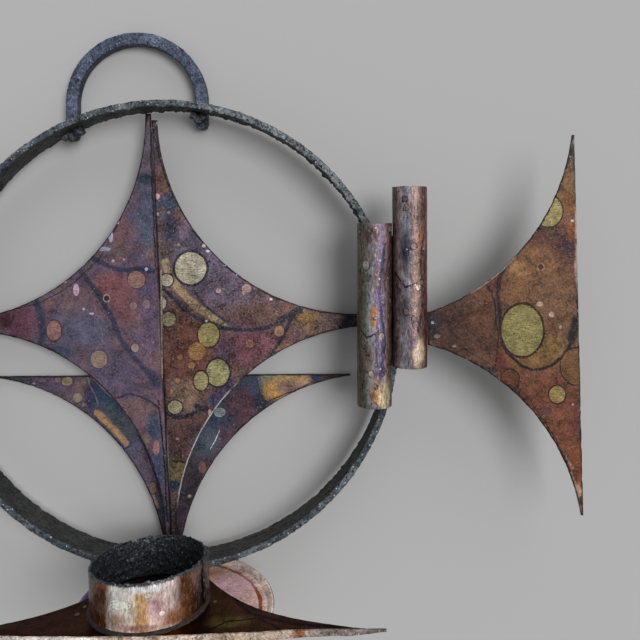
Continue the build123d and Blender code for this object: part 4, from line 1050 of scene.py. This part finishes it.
# tubes: looks of the inner and outer ones, then place and ends of each
innerTubeLook = {
    # round the tube: patina streaks, with a pale streak near the front and darker sides that are partly painted
    # reflection
    "patinaAndReflectionBands": ((0.0, (90, 66, 58)), (0.22, (96, 74, 60)), (0.33, (104, 90, 66)), (0.40, (108, 108, 92)),
              (0.44, (150, 148, 142)), (0.475, (162, 152, 150)), (0.50, (110, 92, 112)),
              (0.56, (98, 84, 112)), (0.60, (152, 116, 116)), (0.625, (124, 84, 70)), (0.68, (62, 42, 36)),
              (0.8, (70, 48, 42)), (0.95, (90, 66, 58))),
    "tint": (112, 88, 78), "tintShare": 0.55, "waver": 0.9, "grainScale": 1.0,
    "grain": 4.0, "warm": (190, 168, 154), "warmAmount": 0.45, "metallic": 0.6,
    "rough": 0.42, "bump": 0.5, "level": (0.8, 0.9, 1.0),
    "flecks": ((0.26, 0.5, 0.34, (62, 48, 52)), (0.26, 0.36, 0.34, (150, 130, 128)),
               (0.5, 0.22, 0.3, (190, 178, 168)), (0.7, 0.24, 0.35, (50, 42, 48))),
    "marks": {"patches": ((-1.0, -131.0, 1.6, 5.0, 0.4, (168, 110, 70)),
                          (0.0, -166.0, 2.4, 6.5, 0.5, (160, 116, 70)),
                          (4.6, -168.0, 3.0, 8.0, 0.5, (206, 176, 134)),
                          (-3.0, -94.0, 5.0, 4.0, 0.5, (120, 96, 88)),
                          (2.0, -115.0, 2.5, 6.0, 0.6, (120, 86, 84)),
                          (-4.0, -150.0, 3.0, 7.0, 0.6, (120, 96, 80))),
              "veins": ((1.6, 0.6, (60, 56, 84), ((4.0, -100.0), (1.5, -120.0), (4.5, -144.0), (2.0, -158.0))),
                        (1.0, 0.5, (60, 40, 40), ((-9.0, -136.0), (-4.0, -141.0), (1.0, -138.0)))),
              "spots": ((-4.6, -108.0, 1.6, 2.0, 0.4, (182, 168, 150), (90, 70, 66)),
                        (2.6, -140.0, 1.3, 1.5, 0.3, (176, 150, 130), (70, 60, 80)),
                        (-2.0, -157.0, 1.2, 1.4, 0.3, (196, 176, 150), (90, 66, 60)))}}
outerTubeLook = {
    # round the tube: patina streaks, with a copper band right of the front that is partly a painted highlight,
    # and darker sides that are partly painted reflection
    "patinaAndReflectionBands": ((0.0, (80, 56, 50)), (0.25, (124, 96, 90)), (0.36, (168, 140, 132)),
              (0.405, (176, 158, 154)), (0.43, (164, 168, 174)), (0.475, (150, 144, 148)),
              (0.495, (122, 96, 88)), (0.53, (140, 110, 100)), (0.575, (140, 106, 92)),
              (0.605, (116, 80, 68)), (0.63, (104, 56, 44)), (0.69, (84, 40, 32)), (0.8, (70, 46, 42)),
              (0.95, (80, 56, 50))),
    "tint": (116, 84, 74), "tintShare": 0.55, "waver": 0.9, "grainScale": 1.0,
    "grain": 4.2, "warm": (200, 172, 156), "warmAmount": 0.4, "metallic": 0.6,
    "rough": 0.4, "bump": 0.5, "level": (0.72, 0.78, 0.86),
    "flecks": ((0.24, 0.5, 0.3, (54, 42, 46)), (0.24, 0.36, 0.3, (140, 116, 108)),
               (0.5, 0.2, 0.3, (206, 184, 170)), (0.7, 0.24, 0.35, (46, 36, 42))),
    "marks": {"patches": ((3.6, -148.0, 3.0, 6.5, 0.5, (216, 186, 150)),
                          (0.8, -143.0, 1.6, 3.0, 0.5, (120, 96, 110)),
                          (-3.0, -100.0, 3.0, 9.0, 0.6, (70, 70, 84)),
                          (5.0, -98.0, 2.5, 6.0, 0.6, (176, 116, 84)),
                          (-3.4, -128.0, 2.4, 8.0, 0.6, (96, 84, 90))),
              "veins": ((1.2, 0.6, (70, 44, 44), ((8.0, -88.0), (4.0, -104.0), (6.0, -124.0), (3.0, -138.0))),
                        (0.9, 0.5, (58, 40, 44), ((-8.0, -112.0), (-3.0, -118.0), (2.0, -116.0)))),
              "spots": ((-2.6, -82.0, 1.2, 1.4, 0.3, (176, 150, 130), (60, 44, 44)),
                        (3.0, -118.0, 1.1, 1.3, 0.3, (220, 196, 168), (110, 70, 60)))}}
tubes = (("tubeInnerRight", "inner_tube_right", 116.4, -173.0, -89.0, innerTubeLook),
         ("tubeOuterRight", "outer_tube_right", 132.7, -155.0, -72.3, outerTubeLook),
         ("tubeInnerLeft", "inner_tube_left", -83.0, -173.0, -89.0, innerTubeLook),
         ("tubeOuterLeft", "outer_tube_left", -99.3, -155.0, -72.3, outerTubeLook))
tube = {"radius": 8.0, "bore": 7.0, "y": -30.3, "round": 0.3, "dent": 0.12, "dentSize": 7.0, "steps": 96,
        "cut": 1.5}


def makeTube(name, node, x, low, high, look, settings):
    sides = ((settings["bore"], low), (settings["radius"], low), (settings["radius"], high),
             (settings["bore"], high))
    corners = [(x + r, settings["y"], z) for r, z in sides]
    bm = spinSection(corners, settings["round"], (x, settings["y"], 0), (0, 0, 1), settings["steps"],
                     settings["cut"])
    roughen(bm, settings["dent"], settings["dentSize"], x)
    material = rolledMaterial(name + "Copper", look, (x, settings["y"], 0), settings["radius"])
    addPiece(name, bm, node, material)


for name, node, x, low, high, look in tubes:
    makeTube(name, node, x, low, high, look, tube)
print("tubes done")

# cup: rolled strip of copper with a lapped end, burnt black inside
cup = {"x": 16.7, "y": -47.3, "foot": -254.825, "radius": 25.0, "bore": 24.0, "height": 19.6,
       "riseFront": 3.0, "riseRight": 2.3, "roll": 1.2, "round": 0.3, "steps": 200, "cut": 0.9,
       "crustBelow": 2.4, "crustIn": 0.2, "sink": 0.3, "lump": 0.9, "lumpSize": 1.9, "lumpLift": 0.05,
       "wave": 0.15, "waveSize": 9.0, "calmFoot": 2,
       "flap": {"from": -14, "to": 20, "radius": 26.0, "clear": 2.2, "round": 0.2, "steps": 22}}
cupLook = {
    # round the cup: a bright front and dark sides, a painted reflection, over the copper's own colour
    "patinaAndReflectionBands": ((0.0, (110, 70, 46)), (0.25, (96, 56, 34)), (0.335, (72, 40, 16)), (0.415, (76, 42, 18)),
              (0.435, (210, 200, 190)), (0.495, (204, 192, 178)), (0.508, (190, 150, 98)),
              (0.53, (184, 146, 94)), (0.543, (202, 178, 170)), (0.60, (200, 174, 164)),
              (0.625, (92, 54, 24)), (0.67, (64, 34, 12)), (0.71, (16, 10, 9)), (0.78, (17, 12, 12)),
              (0.95, (84, 50, 34))),
    "tint": (150, 118, 104), "tintShare": 0.3, "waver": 1.0, "grainScale": 1.0,
    "grain": 3.0, "warm": (214, 196, 176), "warmAmount": 0.2, "metallic": 0.6,
    "rough": 0.36, "bump": 0.4, "level": (1.35, 1.4, 1.48),
    "crust": ((34, 36, 38), (86, 90, 94), (156, 168, 178)), "flecks": ((0.6, 0.22, 0.3, (84, 58, 46)),),
    "marks": {"patches": ((-15.0, -236.5, 2.0, 1.5, 0.5, (120, 72, 40)),
                          (5.0, -236.5, 9.0, 1.6, 0.5, (210, 206, 200)),
                          (16.0, -250.0, 5.0, 3.0, 0.6, (130, 84, 56)),
                          (-8.0, -249.5, 4.0, 3.0, 0.6, (150, 120, 106)),
                          (9.0, -244.0, 3.0, 5.0, 0.7, (170, 136, 136)),
                          (2.0, -252.0, 8.0, 1.4, 0.6, (140, 104, 84))),
              "veins": (),
              "spots": ((-6.1, -242.9, 4.8, 2.0, 0.2, (236, 240, 222), (150, 130, 112)),
                        (5.5, -239.0, 1.3, 0.9, 0.3, (228, 214, 204), (170, 140, 126)),
                        (11.0, -247.0, 1.2, 0.9, 0.3, (220, 204, 194), (160, 124, 110)))}}


def makeCup(settings):
    foot = Vector((settings["x"], settings["y"], settings["foot"]))
    sides = ((settings["bore"], 0), (settings["radius"], 0), (settings["radius"], settings["height"]),
             (settings["bore"], settings["height"]))
    bm = spinSection([(r, 0, z) for r, z in sides], settings["round"], (0, 0, 0), (0, 0, 1),
                     settings["steps"], settings["cut"])
    flap = settings["flap"]
    turn = radians(flap["to"] - flap["from"])
    low, high = flap["clear"], settings["height"]
    strip = spinSection([(settings["radius"], 0, low), (flap["radius"], 0, low), (flap["radius"], 0, high),
                         (settings["radius"], 0, high)], flap["round"], (0, 0, 0), (0, 0, 1), flap["steps"],
                        settings["cut"], turn)
    for end in (0, 1):
        rim = [e for e in strip.edges if e.is_boundary and
               all(abs(atan2(v.co.y, v.co.x) - end * turn) < 0.001 for v in e.verts)]
        bmesh.ops.contextual_create(strip, geom=rim)
    bmesh.ops.rotate(strip, cent=(0, 0, 0), matrix=Matrix.Rotation(radians(flap["from"]), 3, "Z"),
                     verts=strip.verts)
    joined = bpy.data.meshes.new("flapPart")
    strip.to_mesh(joined)
    strip.free()
    bm.from_mesh(joined)
    bpy.data.meshes.remove(joined)
    layer = bm.verts.layers.float.new("crust")
    slopeY, slopeX = sin(radians(settings["riseFront"])), sin(radians(settings["riseRight"]))
    middle = (settings["radius"] + settings["bore"]) / 2
    for v in bm.verts:
        inside = Vector((v.co.x, v.co.y)).length < middle - settings["crustIn"]
        below = settings["height"] - v.co.z
        v[layer] = 1.0 if inside else clamped(1 - below / settings["crustBelow"])
        share = v.co.z / settings["height"]
        v.co.z += share * (v.co.x * slopeX - v.co.y * slopeY)
    bmesh.ops.recalc_face_normals(bm, faces=bm.faces)
    bm.normal_update()
    moves = []
    for v in bm.verts:
        lump = max(0.0, ripple(v.co, settings["lumpSize"], 2.0) + settings["lumpLift"]) * settings["lump"]
        wave = ripple(v.co, settings["waveSize"], 6.0) * settings["wave"]
        burnt = v[layer] * min(1.0, v.co.z / settings["calmFoot"])
        moves.append(v.normal * ((lump - settings["sink"]) * burnt + wave))
    shiftAll(bm, moves)
    bmesh.ops.rotate(bm, cent=(0, 0, 0), matrix=Matrix.Rotation(radians(-settings["roll"]), 3, "Y"),
                     verts=bm.verts)
    bmesh.ops.translate(bm, vec=foot, verts=bm.verts)
    material = rolledMaterial("cupCopper", cupLook, (settings["x"], settings["y"], 0), settings["radius"])
    addPiece("cupRing", bm, "candle_cup", material)


makeCup(cup)
print("cup done")

# ridge: a thin bright line of solder
ridge = {"segments": 12, "low": (13.7, -10.2, -165.5), "high": (13.2, -10.2, -112.0), "radius": 0.62,
         "skin": 0.25, "skinSize": 3.0, "steps": 90}


def makeRidge(settings):
    low, high = Vector(settings["low"]), Vector(settings["high"])
    bm = bmesh.new()
    bmesh.ops.create_circle(bm, segments=settings["segments"], radius=settings["radius"],
                            matrix=Matrix.Translation(low))
    bmesh.ops.contextual_create(bm, geom=bm.edges[:])
    rim = bm.edges[:]
    for i in range(settings["steps"]):
        grown = bmesh.ops.extrude_edge_only(bm, edges=rim)["geom"]
        rim = [e for e in grown if isinstance(e, bmesh.types.BMEdge) and e.is_boundary]
        bmesh.ops.translate(bm, vec=(high - low) / settings["steps"],
                            verts=[v for v in grown if isinstance(v, bmesh.types.BMVert)])
    bmesh.ops.contextual_create(bm, geom=rim)
    roughen(bm, settings["skin"], settings["skinSize"], 1.0)
    addPiece("ridgeLine", bm, "star_ridge_solder", ridgeSolder)


makeRidge(ridge)

# braze between tubes and hoop; the lowest bead ends behind the inner tube
brazes = {"step": 1.0, "lump": 0.5, "lumpSize": 3.0, "low": -160.0, "reach": 105.6}


def makeBraze(name, node, side):
    bm = copyOf(node)
    for v in bm.verts:
        if v.co.z < brazes["low"]:
            v.co.x = hoop["x"] + side * min(side * (v.co.x - hoop["x"]), brazes["reach"])
    for direction in ((1, 0, 0), (0, 0, 1), (0, 1, 0)):
        cutAcross(bm, Vector(direction), brazes["step"])
    roughen(bm, brazes["lump"], brazes["lumpSize"], side)
    addPiece(name, bm, node, braze)


makeBraze("brazeRight", "tube_hoop_braze_right", 1)
makeBraze("brazeLeft", "tube_hoop_braze_left", -1)
print("ridge and braze done")

# dish, its stud and the other joints keep the shape of their solids
plain = (("drip_dish", dishCopper), ("dish_stud", dishCopper),
         ("cup_solder", braze), ("star_tip_solder_left", solder), ("star_tip_solder_right", solder),
         ("star_foot_solder", solder), ("rear_star_solder", solder), ("shelf_braze", braze),
         ("tube_seam_solder_left", solder), ("tube_seam_solder_right", solder),
         ("tail_solder_left", braze), ("tail_solder_right", braze))
for node, material in plain:
    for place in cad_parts[node].material_slots:
        place.material = material
print("plain pieces done")

# light and wall
light = {"world": 0.34, "suns": (("key", 1.95, 32, (0.5, -1.0, 0.22)), ("top", 1.1, 40, (0.4, -0.35, 1.0)))}
wall = {"gap": 0.8, "size": 12000, "tone": (178, 178, 178), "rough": 0.9}


def makeLight(settings):
    for name, power, angle, side in settings["suns"]:
        sun = bpy.data.lights.new(name, "SUN")
        sun.energy = power
        sun.angle = radians(angle)
        lamp = bpy.data.objects.new(name, sun)
        lamp.rotation_euler = Vector(side).to_track_quat("Z", "Y").to_euler()
        bpy.context.scene.collection.objects.link(lamp)
    world = bpy.data.worlds.new("world")
    bpy.context.scene.world = world
    world.use_nodes = True
    sky = world.node_tree.nodes["Background"]
    sky.inputs["Color"].default_value = (1, 1, 1, 1)
    sky.inputs["Strength"].default_value = settings["world"]


def makeWall(settings):
    bm = bmesh.new()
    place = Matrix.Translation((0, settings["gap"] * mm, 0)) @ Matrix.Rotation(pi / 2, 4, "X")
    bmesh.ops.create_grid(bm, x_segments=1, y_segments=1, size=settings["size"] * mm / 2, matrix=place)
    mesh = bpy.data.meshes.new("wall")
    bm.to_mesh(mesh)
    bm.free()
    material, tree, shader = newMaterial("wallPaint")
    shader.inputs["Base Color"].default_value = tone(settings["tone"])
    shader.inputs["Roughness"].default_value = settings["rough"]
    shader.inputs["Specular IOR Level"].default_value = 0.0
    rays = add(tree, "ShaderNodeLightPath").outputs
    seen = sums(tree, "MAXIMUM", sums(tree, "MAXIMUM", rays["Is Camera Ray"], rays["Is Glossy Ray"]),
                rays["Is Transmission Ray"])
    front = sums(tree, "SUBTRACT", 1.0, add(tree, "ShaderNodeNewGeometry").outputs["Backfacing"])
    clear = add(tree, "ShaderNodeBsdfTransparent").outputs[0]
    # seen from behind, or met by a shadow, the wall lets the light through
    share = sums(tree, "MULTIPLY", seen, front)
    either = add(tree, "ShaderNodeMixShader", {0: share, 1: clear, 2: shader.outputs[0]})
    join(tree, tree.nodes["Material Output"].inputs["Surface"], either.outputs[0])
    mesh.materials.append(material)
    piece = bpy.data.objects.new("wall", mesh)
    bpy.context.scene.collection.objects.link(piece)


makeLight(light)
makeWall(wall)
print("light and wall done")
